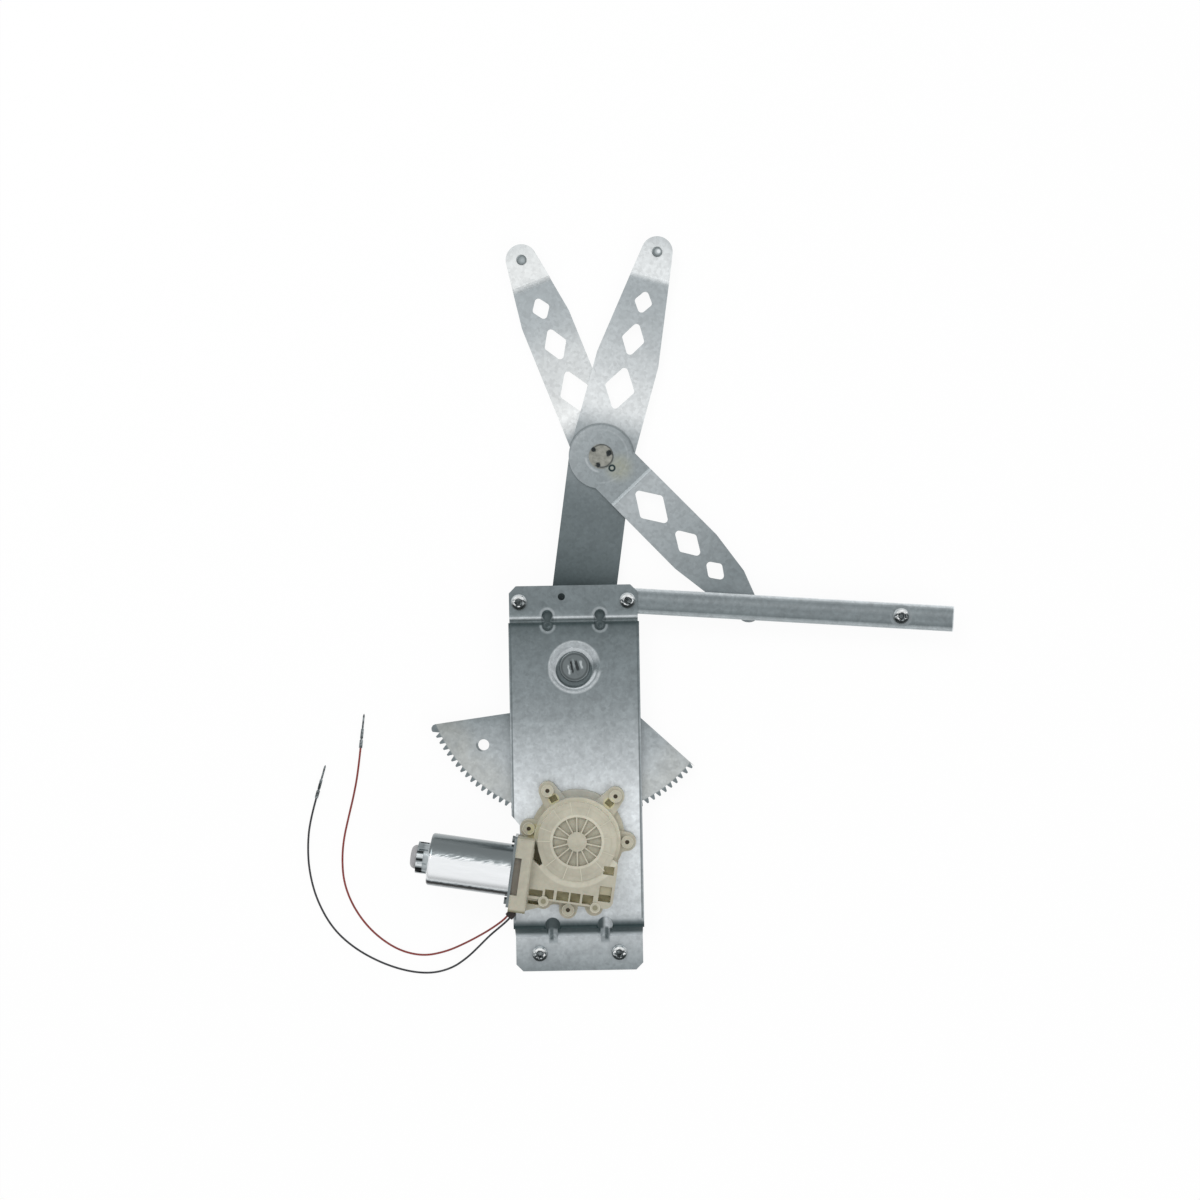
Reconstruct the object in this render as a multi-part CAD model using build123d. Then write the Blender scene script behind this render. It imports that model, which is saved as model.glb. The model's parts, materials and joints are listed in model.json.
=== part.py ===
from build123d import *
import math
import os

os.makedirs("parts", exist_ok=True)

# ---------------------------------------------------------------------------
# Electric cross-arm window regulator.  Millimetres and degrees.
# Everything is laid out from the main pivot axis: +X along the guide rail,
# +Y up the door, +Z out of the plate towards the motor side.  save() then moves
# each piece so that the origin is the middle of the bottom flange's back face,
# on its bolt line.
# ---------------------------------------------------------------------------

# Fits and gaps
RUNNING_GAP = 0.05          # radial gap of a pin turning in its hole
SIDE_GAP = 0.3              # gap between faces that slide past each other
SEAT_GAP = 0.1              # radial gap of a piece that sits in a pocket

# Sheet steel
PLATE_T = 1.5
ARM_T = 2.2
SECTOR_T = 2.5
RAIL_T = 1.5
BEND_R = 2.2                # inside radius of the plate's bends

# Heights of the layers above the floor (back face of each)
BOTTOM_FLANGE_Z = 0.0
CROSS_UPPER_Z = 3.5
MAIN_PLATE_Z = 18.5
TOP_FLANGE_Z = 23.5
MAIN_ARM_Z = CROSS_UPPER_Z + ARM_T + SIDE_GAP
SECTOR_Z = MAIN_ARM_Z + ARM_T
CROSS_LOWER_Z = MAIN_ARM_Z + ARM_T + SIDE_GAP
ARM_TIP_Z = 9.0             # back face of both joggled arm tips
LOWER_STEP = 1.2            # forward step of the lower cross arm past its hub
LOWER_TIP_Z = CROSS_LOWER_Z + LOWER_STEP

# Base plate, as distances from the main pivot
PLATE_W = 102.6
FLANGE_W = PLATE_W - 2.0
TOP_EDGE = 64.0
TOP_STEP_HIGH = 39.6
TOP_STEP_LOW = 35.2
BOTTOM_STEP_HIGH = -203.8
BOTTOM_STEP_LOW = -213.5
BOTTOM_EDGE = -241.5
CORNER_CUT = 5.5
SIDE_FLANGE_DEPTH = 6.0
NOTCH_TOP = -116.0
NOTCH_BOTTOM = -193.2
NOTCH_DEPTH = 6.2
NOTCH_SLOPE = 7.5
TOP_NUT_SPACING = FLANGE_W - 15.6
TOP_NUT_Y = 51.4
BOTTOM_NUT_SPACING = 63.0
BOTTOM_NUT_Y = -227.5
LOCATING_HOLE = (-9.2, 55.2)
LOCATING_HOLE_R = 2.8
RECESS_RIM_R = 20.5
RECESS_FLOOR_R = 15.0
RECESS_FLOOR_Z = 11.4
DART_X = 20.5
DART_WALL = 1.2
# (distance up from the plate's step, height over the sheet's front, radius) at both ends
TOP_DART = ((-2.3, 1.4, 4.9), (-0.4, 1.0, 4.9))
LOW_DART = ((1.6, 0.5, 5.8), (-1.0, 3.6, 4.0))

# Main pivot
PIVOT_PIN_R = 6.0
PIVOT_HEAD_R = 12.0
PIVOT_HEAD_T = 2.5
PIVOT_WASHER_R = 14.0
STAKE_SLOT = (15.0, 2.2, 1.0)    # length, width, depth
STAKE_SLOT_TURN = -60.0

# Arms
HALF_ARM = 167.2            # pivot to pivot
LOWER_ARM = HALF_ARM + 1.2  # cross pivot to the guide roller
MAIN_LEAN = 8.2             # lower main arm, right of straight up
MAIN_TIP_LEAN = 16.3        # upper main arm, right of straight up
UPPER_LEAN = -21.1          # upper cross arm, left of straight up
GUIDE_DROP = 2.5            # guide roller under the rail's centre line at rest
MAIN_HALF_W = 25.2
HUB_R = 25.6
# Corners of the arms' plans past the cross pivot: (share of the length, half width)
MAIN_SHAPE = ((0.0, 25.2), (0.478, 25.0), (0.670, 20.4), (0.885, 15.4))
UPPER_SHAPE = ((0.0, 20.0), (0.700, 20.0), (0.898, 15.2))
# The lower arm is lopsided: (share of the length, offset) round its plan, turned as a whole
LOWER_SHAPE = ((-0.03, 20.6), (0.642, 20.8), (0.852, 16.0), (0.618, -21.3), (-0.06, -20.8))
LOWER_TURN = 1.2
JOGGLE_AT = HALF_ARM - 21.0
JOGGLE_RUN = 3.5
TIP_R = 12.4
LOWER_TIP_R = 9.4
LOWER_STEP_AT = 34.0
# Lightening holes: (place, length, width) as shares of the arm's length
DIAMONDS = ((0.335, 0.230, 0.147), (0.575, 0.184, 0.112), (0.757, 0.128, 0.090))
DIAMOND_CORNER_R = 3.0
BUSH_R = 9.8
BUSH_HEAD_R = 12.0
BUSH_HEAD_T = 1.2
BUSH_PROUD = 0.5
STAKE_CIRCLE_R = 7.2
STAKE_R = 1.4
STAKE_DEPTH = 1.0
STAKE_TURNS = (19, 140, 246)

# Rollers at the arm tips
ROLLER_R = 8.0
ROLLER_GROOVE = (2.8, 1.2)       # width and depth
ROLLER_PIN_R = 3.0
ROLLER_PIN_HEAD_R = 4.0
ROLLER_PIN_HEAD_T = 1.2
ROLLER_PIN_FOOT_R = 6.0
ROLLER_FOOT_T = 1.2

# Guide rail, as distances from its near nut
RAIL_SLOPE = -4.25
RAIL_W = 20.0
RAIL_DEPTH = 10.5
RAIL_LIP = 3.2
RAIL_BEND_R = 1.4             # inside radius
RAIL_START = -14.0
RAIL_END = 256.0
RAIL_NUT_AT = 214.7
GUIDE_ROLLER_R = 5.5
GUIDE_PIN_R = 2.5
GUIDE_PIN_HEAD_R = 4.2
GUIDE_PIN_HEAD_T = 0.9

# Clinch nuts, M6
NUT_FLANGE_R = 6.2
NUT_FLANGE_T = 1.2
NUT_ACROSS_FLATS = 10.0
NUT_HEIGHT = 4.6
NUT_BORE_R = 2.5
NUT_SHANK_R = 4.0

# Toothed sector and output pinion
MODULE = 1.75
SECTOR_TEETH = 138          # on the full circle
TEETH_LEFT = 25
TEETH_RIGHT = 19
PINION_TEETH = 16
PRESSURE_ANGLE = 20.0
BACKLASH = 0.3
SECTOR_NOSE = (-110.4, -47.2)
SECTOR_NOSE_R = 3.5
SECTOR_NOSE_TURNS = (97.5, 130.0, 165.0, 200.0, 225.0)
SECTOR_INNER_CORNER = (-22.0, -32.0)
SECTOR_RIGHT_CORNER = (93.5, -80.4)
SECTOR_HUB_R = 24.0
SECTOR_WEB_Y = -16.0
SECTOR_HOLE = (-72.8, -60.6)
SECTOR_HOLE_R = 4.4
SECTOR_RIVET_R = 3.0
SECTOR_RIVET_HEAD_R = 5.0
SECTOR_RIVET_HEAD_T = 1.5
SECTOR_RIVET_POINTS = ((-14.0, -12.0), (14.0, -12.0), (0.0, -19.0))
PINION_W = 5.0
PINION_Z = 7.0

# Gear motor, from the output shaft's axis
MOTOR_TILT = -9.0           # armature axis against the plate's width
WORM_DROP = 30.0            # output shaft to armature axis
MOTOR_Z = 34.0              # height of the armature axis
CAN_R = 20.3
CAN_START = -112.0
CAN_END = -47.8
CAN_WALL = 1.6
CAN_CORNER_R = 2.2
FLANGE_T = 2.0
FLANGE_HALF = 27.5
FLANGE_H = 30.0
FLANGE_CORNER_R = 3.0
CAN_SCREW_R = 1.4
CAN_SCREW_HEAD_R = 2.7
CAN_SCREW_LENGTH = 8.0
CAN_SCREW_HEAD_T = 2.2
CAN_SCREW_EDGE = 3.4
CUP_R = 12.3
CUP_LEN = 9.5
CUP_WALL = 1.3
CUP_SLOTS = 8
CUP_SLOT = (2.4, 1.3)       # width and depth
DOME_R = 9.4
DOME_LEN = 5.0
HOUSING_R = 33.8
HOUSING_TOP_Z = 44.0
HOUSING_RIM_W = 3.2         # ledge round the top
HOUSING_RIM_Z = 36.0
SKIRT_R = 37.0              # wide lower rim, a little above the output shaft
SKIRT_Y = 2.0
SKIRT_TOP_Z = 27.0
HOUSING_WALL = 2.4
COVER_T = 2.0
COVER_INSET = 0.5           # cover's edge inside the plate's notch
EAR_R = 7.0
EAR_ROOT_R = 10.5
EAR_HOLE_R = 1.7
BOLT_CLEARANCE = 0.6        # radial, where the motor screws pass the plate
SCREW_PROUD = 0.5           # screw ends in front of the ears
EAR_TOP_Z = 30.0
MOUNT_EARS = ((-22.6, 38.8), (30.4, 33.6), (-8.2, -54.3))
COVER_EARS = ((38.9, -2.2), (-37.6, 9.6), (-27.4, -46.4), (12.2, -52.6))
SCREW_HEAD_R = 3.6
SCREW_HEAD_T = 2.4
SCREW_CROSS = (4.0, 0.9, 0.8)
EAR_BOSS_WALL = 2.6
EAR_BOSS_H = 2.5
TUNNEL_LOW = -48.5
TUNNEL_HIGH = -10.0
TUNNEL_END = 34.0
TUNNEL_TOP_Z = 43.0
TUNNEL_CORNER_R = 6.0
# Plan of the skirt under the tunnel and of the gusset beside the block, in the motor's axes
TUNNEL_FOOT = ((-33.5, -61.0), (-11.0, -52.6), (15.0, -51.2), (29.0, -47.5), (34.0, -41.0),
               (34.0, -10.0), (-33.5, -10.0))
GUSSET = ((-33.5, -59.6), (-20.0, -54.4), (-13.0, -51.0), (-13.0, -46.0), (-33.5, -46.0))
GUSSET_TOP_Z = 38.0
BRIDGE_END = -18.0
BRIDGE_TOP_Z = 39.0
# Pockets moulded between the ribs: (u0, u1, v0, v1, floor), in the motor's axes
POCKETS = (
    (-19.2, -12.3, -47.0, -39.8, 34.0), (-10.0, -0.5, -47.0, -39.8, 34.0),
    (0.7, 8.4, -47.0, -39.8, 34.0), (10.1, 18.5, -47.0, -39.8, 34.0),
    (22.3, 31.9, -43.3, -38.0, 34.0), (22.3, 31.9, -38.5, -31.4, 41.6),
    (23.4, 31.6, -22.2, -15.6, 36.0), (-31.6, -21.0, -46.4, -41.2, 34.0),
    (-31.6, -23.1, -53.4, -50.6, 30.0),
)
# Pockets round the wheel: plan corners from the output shaft, and floor
EAR_POCKETS = ((-18.0, 32.3), (25.4, 28.2))
EAR_POCKET = (4.8, 6.0, 24.0)
WEDGE = ((-32.2, 0.5), (-34.3, -13.5), (-29.5, -18.2), (-27.2, -16.7))
WEDGE_FLOOR_Z = 26.0
BLOCK_END = -32.5
BLOCK_LOW = -60.0
BLOCK_HIGH = -3.0
BLOCK_TOP_Z = 51.0
BLOCK_PANEL = (5.4, -47.0, -18.0, 47.0)     # depth in from its end, v0, v1, floor height
SPOKE_RECESS_R = 19.0
SPOKE_HUB_R = 7.6
SPOKE_DEPTH = 2.6
SPOKES = 14
SPOKE_T = 1.1
SPOKE_DROP = 0.4

# Gear train inside the housing
WHEEL_TEETH = 73
WHEEL_MODULE = 0.65
WHEEL_Z = 29.0
WHEEL_W = 9.0
WHEEL_WEB = 2.5
WHEEL_CAVITY_R = 18.0
DAMPER_T = 4.2
DAMPER_POCKETS = 3
DAMPER_STOP = (5.0, 4.0)    # reach in from the wheel's rim, width
DRIVE_LUG = (2.0, 3.0, 4.0) # gap to the shaft, gap to the rim, width
DRIVE_PLATE_T = 2.0
OUTPUT_R = 5.0
BEARING_TUBE_R = 8.6
BEARING_TUBE_Z = 13.5
SHAFT_CAP_T = 0.6           # wall left between the output shaft's end and the spoked recess
SHAFT_R = 3.0
WORM_TIP_R = 5.3
WORM_ROOT_R = 4.0
WORM_LENGTH = 20.0

# Armature and field, along the armature axis
CORE_R = 14.2
CORE_START = -101.0
CORE_LENGTH = 34.0
CORE_SLOTS = 8
COMMUTATOR_R = 6.5
COMMUTATOR_START = -44.0
COMMUTATOR_LENGTH = 10.0
CORE_SLOT = (3.0, 5.4)      # width and depth
WINDING = (2.8, 4.0, 4.0)   # width, depth and how far it stands out of each end
MAGNET_GAP = 0.8
MAGNET_OVERHANG = 2.0
MAGNET_SPLIT = 10.0
BEARING_R = 6.0
BEARING_LENGTH = 6.0
BRUSH = (5.0, 4.0, 2.0)     # along the shaft, across it, towards it
BRUSH_TURN = 35.0
BRUSH_SLOT = 3.0            # the holder's slot runs this much further out and in

# Wires
WIRE_D = 1.6
GROMMET_R = 3.4
GROMMET_STEM_R = 2.4
GROMMET_START = 3.2         # from the block's face, along the sleeve
GROMMET_LENGTH = 5.0
GROMMET_U = -40.1
GROMMET_TURN = -42.0
WIRE_EXIT_Z = 30.0
SHEATH_CRIMP = (1.35, 6.0)  # radius and length of each stretch of a terminal
CRIMP_NECK = (0.9, 1.5)
CORE_CRIMP = (1.15, 7.5)
PIN_R = 0.75
PIN_LENGTH = 12.0
PIN_POINT = 1.5

CLEAR = 60.0                # beyond every layer, for cuts that go right through


# ---------------------------------------------------------------------------
# Places worked out from the dimensions
# ---------------------------------------------------------------------------

def leaning(lean, length):
    """The step of a link of that length, leaning clockwise from straight up."""
    angle = math.radians(lean)
    return Vector(length * math.sin(angle), length * math.cos(angle))


CROSS_PIVOT = leaning(MAIN_LEAN, HALF_ARM)
MAIN_TIP = CROSS_PIVOT + leaning(MAIN_TIP_LEAN, HALF_ARM)
UPPER_TIP = CROSS_PIVOT + leaning(UPPER_LEAN, HALF_ARM)
NEAR_NUT = (TOP_NUT_SPACING / 2, TOP_NUT_Y)


def guide_place():
    """Where the guide roller stands: on the rail, an arm's length from the cross pivot."""
    along = Vector(math.cos(math.radians(RAIL_SLOPE)), math.sin(math.radians(RAIL_SLOPE)))
    up = Vector(-along.Y, along.X)
    to_pivot = CROSS_PIVOT - Vector(*NEAR_NUT) + up * GUIDE_DROP
    square = to_pivot.dot(along) ** 2 - to_pivot.length ** 2 + LOWER_ARM ** 2
    reach = to_pivot.dot(along) + math.sqrt(square)
    return Vector(*NEAR_NUT) - up * GUIDE_DROP + along * reach


GUIDE_TIP = guide_place()
LOWER_LEAN = math.degrees(math.atan2(GUIDE_TIP.X - CROSS_PIVOT.X, GUIDE_TIP.Y - CROSS_PIVOT.Y))
SECTOR_PITCH_R = SECTOR_TEETH * MODULE / 2
PINION_PITCH_R = PINION_TEETH * MODULE / 2
OUTPUT_Y = -(SECTOR_PITCH_R + PINION_PITCH_R)
PLATE_FRONT_Z = MAIN_PLATE_Z + PLATE_T
RAIL_FRONT_Z = TOP_FLANGE_Z
RAIL_BACK_Z = RAIL_FRONT_Z - RAIL_DEPTH
COVER_TOP_Z = PLATE_FRONT_Z + COVER_T
SHAFT_TOP_Z = HOUSING_TOP_Z - SPOKE_DEPTH - SHAFT_CAP_T - SIDE_GAP
CHAMBER_R = MOTOR_Z - COVER_TOP_Z - HOUSING_WALL     # brush chamber in the block
WHEEL_R = (WHEEL_TEETH + 2) * WHEEL_MODULE / 2
CAVITY_R = WHEEL_R + 1.0

written = []


def save(name, *solids):
    """Writes one sub-part, moved so that the origin is on the bottom bolt line."""
    pieces = [s for shape in solids for s in shape.solids()]
    moved = Pos(0, -BOTTOM_NUT_Y, 0) * Compound(children=pieces)
    export_step(moved, f"parts/{name}.step")
    written.append(name)


def disc(radius, low, high, x=0.0, y=0.0):
    """A cylinder along Z between two heights."""
    return Pos(x, y, (low + high) / 2) * Cylinder(radius, high - low)


def slab(x0, x1, y0, y1, z0, z1):
    """A box between two corners."""
    return Pos((x0 + x1) / 2, (y0 + y1) / 2, (z0 + z1) / 2) * Box(x1 - x0, y1 - y0, z1 - z0)


def prism(points, low, high):
    """A polygon in plan, between two heights."""
    return Pos(0, 0, low) * extrude(Polygon(*points, align=None), high - low)


def sheet_section(points, thickness, radius):
    """Cross-section of bent sheet: its back line, thickened to the left, bends rounded."""
    back = FilletPolyline(*points, radius=radius)
    front = offset(back, amount=thickness, side=Side.LEFT, closed=False)
    near, far = sorted((front @ 0, front @ 1), key=lambda end: (end - back @ 0).length)
    return make_face([*back.edges(), *front.edges(), Line(back @ 0, near), Line(back @ 1, far)])


def motor_frame():
    """Axes of the gear motor: X along the armature towards the worm, Y across it."""
    return Pos(0, OUTPUT_Y, 0) * Rot(0, 0, MOTOR_TILT)


def along_armature(radius, start, length):
    """A round bar on the armature axis, from start."""
    bar = Rot(0, 90, 0) * Cylinder(radius, length)
    return motor_frame() * Pos(start + length / 2, -WORM_DROP, MOTOR_Z) * bar


def involute_tooth(teeth, module, thinning):
    """Half of one tooth's outline: (radius, angle from its centre line), root to tip."""
    pitch_r = teeth * module / 2
    base_r = pitch_r * math.cos(math.radians(PRESSURE_ANGLE))
    tip_r = pitch_r + module
    root_r = pitch_r - 1.25 * module
    alpha = math.radians(PRESSURE_ANGLE)
    at_pitch = math.tan(alpha) - alpha
    half = math.pi / (2 * teeth) - thinning / (2 * pitch_r)
    flank = []
    start_r = max(root_r, base_r)
    if root_r < base_r:
        flank.append((root_r, half + at_pitch))
    for step in range(4):
        radius = start_r + (tip_r - start_r) * step / 3
        roll = math.acos(min(1.0, base_r / radius))
        flank.append((radius, half + at_pitch - (math.tan(roll) - roll)))
    return flank


def toothed_edge(teeth, module, thinning, centres):
    """Points round a row of teeth, at the angles in centres (radians, rising)."""
    flank = involute_tooth(teeth, module, thinning)
    points = []
    for centre in centres:
        for radius, angle in flank:
            points.append((radius * math.cos(centre - angle), radius * math.sin(centre - angle)))
        for radius, angle in reversed(flank):
            points.append((radius * math.cos(centre + angle), radius * math.sin(centre + angle)))
    return points


def spur_gear(teeth, module, thinning, first, low, high):
    """A whole gear about the origin, with a tooth at the angle first."""
    pitch = 2 * math.pi / teeth
    centres = [math.radians(first) + k * pitch for k in range(teeth)]
    return prism(toothed_edge(teeth, module, thinning, centres), low, high)


# ---------------------------------------------------------------------------
# Base plate, rail and their nuts
# ---------------------------------------------------------------------------

def plate_line():
    """Back face of the base plate in side view, bottom edge to top edge."""
    return [
        (BOTTOM_EDGE, BOTTOM_FLANGE_Z),
        (BOTTOM_STEP_LOW, BOTTOM_FLANGE_Z),
        (BOTTOM_STEP_HIGH, MAIN_PLATE_Z),
        (TOP_STEP_LOW, MAIN_PLATE_Z),
        (TOP_STEP_HIGH, TOP_FLANGE_Z),
        (TOP_EDGE, TOP_FLANGE_Z),
    ]


def plate_outline():
    """The base plate in plan, with cut corners and the notch for the motor."""
    wide, narrow = PLATE_W / 2, FLANGE_W / 2
    inner = -wide + NOTCH_DEPTH
    cut = CORNER_CUT
    low, high = BOTTOM_STEP_HIGH - PLATE_T, TOP_STEP_LOW
    return [
        (-narrow + cut, BOTTOM_EDGE), (narrow - cut, BOTTOM_EDGE), (narrow, BOTTOM_EDGE + cut),
        (narrow, low), (wide, low), (wide, high), (narrow, high), (narrow, TOP_EDGE - cut),
        (narrow - cut, TOP_EDGE), (-narrow + cut, TOP_EDGE), (-narrow, TOP_EDGE - cut),
        (-narrow, high), (-wide, high), (-wide, NOTCH_TOP), (inner, NOTCH_TOP - NOTCH_SLOPE),
        (inner, NOTCH_BOTTOM + NOTCH_SLOPE), (-wide, NOTCH_BOTTOM), (-wide, low),
        (-narrow, low), (-narrow, BOTTOM_EDGE + cut),
    ]


def dart(x, start, end, grow):
    """A round-nosed groove across a bend, between two (y, z, radius) ends, grown by grow."""
    y0, z0, r0 = start
    y1, z1, r1 = end
    r0, r1 = r0 + grow, r1 + grow
    length = math.hypot(y1 - y0, z1 - z0)
    tilt = math.degrees(math.atan2(z1 - z0, y1 - y0))
    bar = Cylinder(r0, length) if r0 == r1 else Cone(r1, r0, length)
    shape = Pos(x, (y0 + y1) / 2, (z0 + z1) / 2) * Rot(tilt, 0, 0) * Rot(90, 0, 0) * bar
    return shape + Pos(x, y0, z0) * Sphere(r0) + Pos(x, y1, z1) * Sphere(r1)


def dart_ends():
    """The darts over the top step and over the bottom step, as (y, z, radius) ends."""
    (a, b, r), (c, d, q) = TOP_DART
    top = ((TOP_STEP_LOW + a, PLATE_FRONT_Z + b, r), (TOP_STEP_HIGH + c, TOP_FLANGE_Z + PLATE_T + d, q))
    (a, b, r), (c, d, q) = LOW_DART
    low = ((BOTTOM_STEP_HIGH + a, PLATE_FRONT_Z + b, r), (BOTTOM_STEP_LOW + c, PLATE_T + d, q))
    return top, low


def base_plate():
    section = Plane.YZ * sheet_section(plate_line(), PLATE_T, BEND_R)
    sheet = extrude(section, PLATE_W / 2, both=True)
    everything = TOP_FLANGE_Z + 2 * PLATE_T
    plate = sheet & prism(plate_outline(), -PLATE_T, everything)
    # round recess that carries the pivot, drawn back from the plate
    outer = disc(RECESS_RIM_R, MAIN_PLATE_Z - PLATE_T, PLATE_FRONT_Z + PLATE_T)
    cup = [
        (PIVOT_PIN_R, RECESS_FLOOR_Z), (RECESS_FLOOR_R, RECESS_FLOOR_Z),
        (RECESS_RIM_R - PLATE_T / 2, MAIN_PLATE_Z), (RECESS_RIM_R + PLATE_T, MAIN_PLATE_Z),
        (RECESS_RIM_R + PLATE_T, PLATE_FRONT_Z), (RECESS_RIM_R - PLATE_T / 2, PLATE_FRONT_Z),
        (RECESS_FLOOR_R, RECESS_FLOOR_Z + PLATE_T), (PIVOT_PIN_R, RECESS_FLOOR_Z + PLATE_T),
    ]
    recess = revolve(Plane.XZ * Polygon(*cup, align=None), Axis.Z)
    plate = plate - outer + recess
    # stiffening darts over both steps
    behind = Plane.YZ * Polygon(
        (BOTTOM_EDGE, BOTTOM_FLANGE_Z), (TOP_EDGE, BOTTOM_FLANGE_Z),
        (TOP_EDGE, TOP_FLANGE_Z + PLATE_T),
        (TOP_STEP_HIGH, TOP_FLANGE_Z + PLATE_T), (TOP_STEP_LOW, PLATE_FRONT_Z),
        (BOTTOM_STEP_HIGH - PLATE_T, PLATE_FRONT_Z),
        (BOTTOM_STEP_LOW - PLATE_T, BOTTOM_FLANGE_Z + PLATE_T),
        (BOTTOM_EDGE, BOTTOM_FLANGE_Z + PLATE_T), align=None)
    backing = extrude(behind, PLATE_W / 2, both=True)
    for side in (-1, 1):
        for start, end in dart_ends():
            hollow = dart(side * DART_X, start, end, 0)
            shell = dart(side * DART_X, start, end, DART_WALL)
            plate = plate + (shell & backing) - hollow
    # side flanges, bent back, above and below the motor notch
    spans = ((BOTTOM_STEP_HIGH + PLATE_T, NOTCH_BOTTOM - 1), (NOTCH_TOP + 1, TOP_STEP_LOW - 1))
    for side in (-1, 1):
        x0, x1 = sorted((side * PLATE_W / 2, side * (PLATE_W / 2 - PLATE_T)))
        rows = spans if side < 0 else ((spans[0][0], spans[1][1]),)
        for y0, y1 in rows:
            plate = plate + slab(x0, x1, y0, y1, MAIN_PLATE_Z - SIDE_FLANGE_DEPTH, MAIN_PLATE_Z)
    # holes
    for side in (-1, 1):
        top = (side * TOP_NUT_SPACING / 2, TOP_NUT_Y)
        low = (side * BOTTOM_NUT_SPACING / 2, BOTTOM_NUT_Y)
        for x, y in (top, low):
            plate = plate - disc(NUT_SHANK_R, -PLATE_T, everything, x, y)
    plate = plate - disc(LOCATING_HOLE_R, TOP_FLANGE_Z - 1, everything, *LOCATING_HOLE)
    plate = plate - disc(BEARING_TUBE_R + SEAT_GAP, MAIN_PLATE_Z - 1, PLATE_FRONT_Z + 1, 0, OUTPUT_Y)
    for x, y in MOUNT_EARS:
        plate = plate - disc(EAR_HOLE_R + BOLT_CLEARANCE, MAIN_PLATE_Z - 1, PLATE_FRONT_Z + 1, x, y + OUTPUT_Y)
    save("base_plate", plate)


def rail_frame():
    return Pos(*NEAR_NUT, 0) * Rot(0, 0, RAIL_SLOPE)


def guide_rail():
    half = RAIL_W / 2
    line = [
        (RAIL_LIP - half, RAIL_BACK_Z), (-half, RAIL_BACK_Z), (-half, RAIL_FRONT_Z),
        (half, RAIL_FRONT_Z), (half, RAIL_BACK_Z), (half - RAIL_LIP, RAIL_BACK_Z),
    ]
    outer = FilletPolyline(*line, radius=RAIL_BEND_R + RAIL_T)
    inner_line = [
        (RAIL_LIP - half, RAIL_BACK_Z + RAIL_T), (RAIL_T - half, RAIL_BACK_Z + RAIL_T),
        (RAIL_T - half, RAIL_FRONT_Z - RAIL_T), (half - RAIL_T, RAIL_FRONT_Z - RAIL_T),
        (half - RAIL_T, RAIL_BACK_Z + RAIL_T), (half - RAIL_LIP, RAIL_BACK_Z + RAIL_T),
    ]
    inner = FilletPolyline(*inner_line, radius=RAIL_BEND_R)
    ends = [Line(outer @ 0, inner @ 0), Line(outer @ 1, inner @ 1)]
    face = Plane.YZ * make_face([*outer.edges(), *inner.edges(), *ends])
    channel = Pos(RAIL_START, 0, 0) * extrude(face, RAIL_END - RAIL_START, dir=(1, 0, 0))
    for at in (0.0, RAIL_NUT_AT):
        channel = channel - disc(NUT_SHANK_R, RAIL_FRONT_Z - 2 * RAIL_T, RAIL_FRONT_Z + 1, at, 0)
    save("guide_rail", rail_frame() * channel)


def clinch_nut(front, grip):
    """Flanged hexagon nut standing on a front face, its shank filling the sheet behind."""
    flange = disc(NUT_FLANGE_R, front, front + NUT_FLANGE_T)
    flange = chamfer(flange.edges().sort_by(Axis.Z)[-1], NUT_FLANGE_T * 0.4)
    hexagon = RegularPolygon(NUT_ACROSS_FLATS / 2, 6, major_radius=False)
    body = Pos(0, 0, front + NUT_FLANGE_T) * extrude(hexagon, NUT_HEIGHT - NUT_FLANGE_T)
    dome = Pos(0, 0, front) * Cone(NUT_ACROSS_FLATS * 0.86, NUT_ACROSS_FLATS * 0.5, NUT_HEIGHT,
                                   align=(Align.CENTER, Align.CENTER, Align.MIN))
    shank = disc(NUT_SHANK_R, front - grip, front)
    nut = flange + (body & dome) + shank
    return nut - disc(NUT_BORE_R, front - grip - 1, front + NUT_HEIGHT + 1)


def nuts():
    top_front = TOP_FLANGE_Z + PLATE_T
    low_front = BOTTOM_FLANGE_Z + PLATE_T
    half_top, half_low = TOP_NUT_SPACING / 2, BOTTOM_NUT_SPACING / 2
    save("plate_nuts",
         Pos(-half_top, TOP_NUT_Y, 0) * clinch_nut(top_front, PLATE_T),
         Pos(-half_low, BOTTOM_NUT_Y, 0) * clinch_nut(low_front, PLATE_T),
         Pos(half_low, BOTTOM_NUT_Y, 0) * clinch_nut(low_front, PLATE_T))
    save("rail_nuts",
         Pos(*NEAR_NUT, 0) * clinch_nut(top_front, PLATE_T + RAIL_T),
         rail_frame() * Pos(RAIL_NUT_AT, 0, 0) * clinch_nut(RAIL_FRONT_Z, RAIL_T))


def main_pivot():
    """Shouldered rivet fixed in the recess; the main arm and sector turn on it."""
    head_z = RECESS_FLOOR_Z + PLATE_T
    back_head = MAIN_ARM_Z - SIDE_GAP - PIVOT_HEAD_T
    rivet = disc(PIVOT_PIN_R, back_head, head_z + PIVOT_HEAD_T)
    rivet = rivet + disc(PIVOT_HEAD_R - 1, back_head, back_head + PIVOT_HEAD_T)
    front = disc(PIVOT_HEAD_R, head_z, head_z + PIVOT_HEAD_T)
    front = fillet(front.edges().sort_by(Axis.Z)[-1], PIVOT_HEAD_T * 0.45)
    length, width, depth = STAKE_SLOT
    slot = Pos(0, 0, head_z + PIVOT_HEAD_T) * Rot(0, 0, STAKE_SLOT_TURN) * Box(length, width, 2 * depth)
    save("main_pivot_rivet", rivet + front - slot)
    low = SECTOR_Z + SECTOR_T + SIDE_GAP
    washer = disc(PIVOT_WASHER_R, low, RECESS_FLOOR_Z) - disc(PIVOT_PIN_R, 0, head_z)
    save("pivot_washer", washer)


# ---------------------------------------------------------------------------
# Arms, sector and their pivots
# ---------------------------------------------------------------------------

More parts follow.
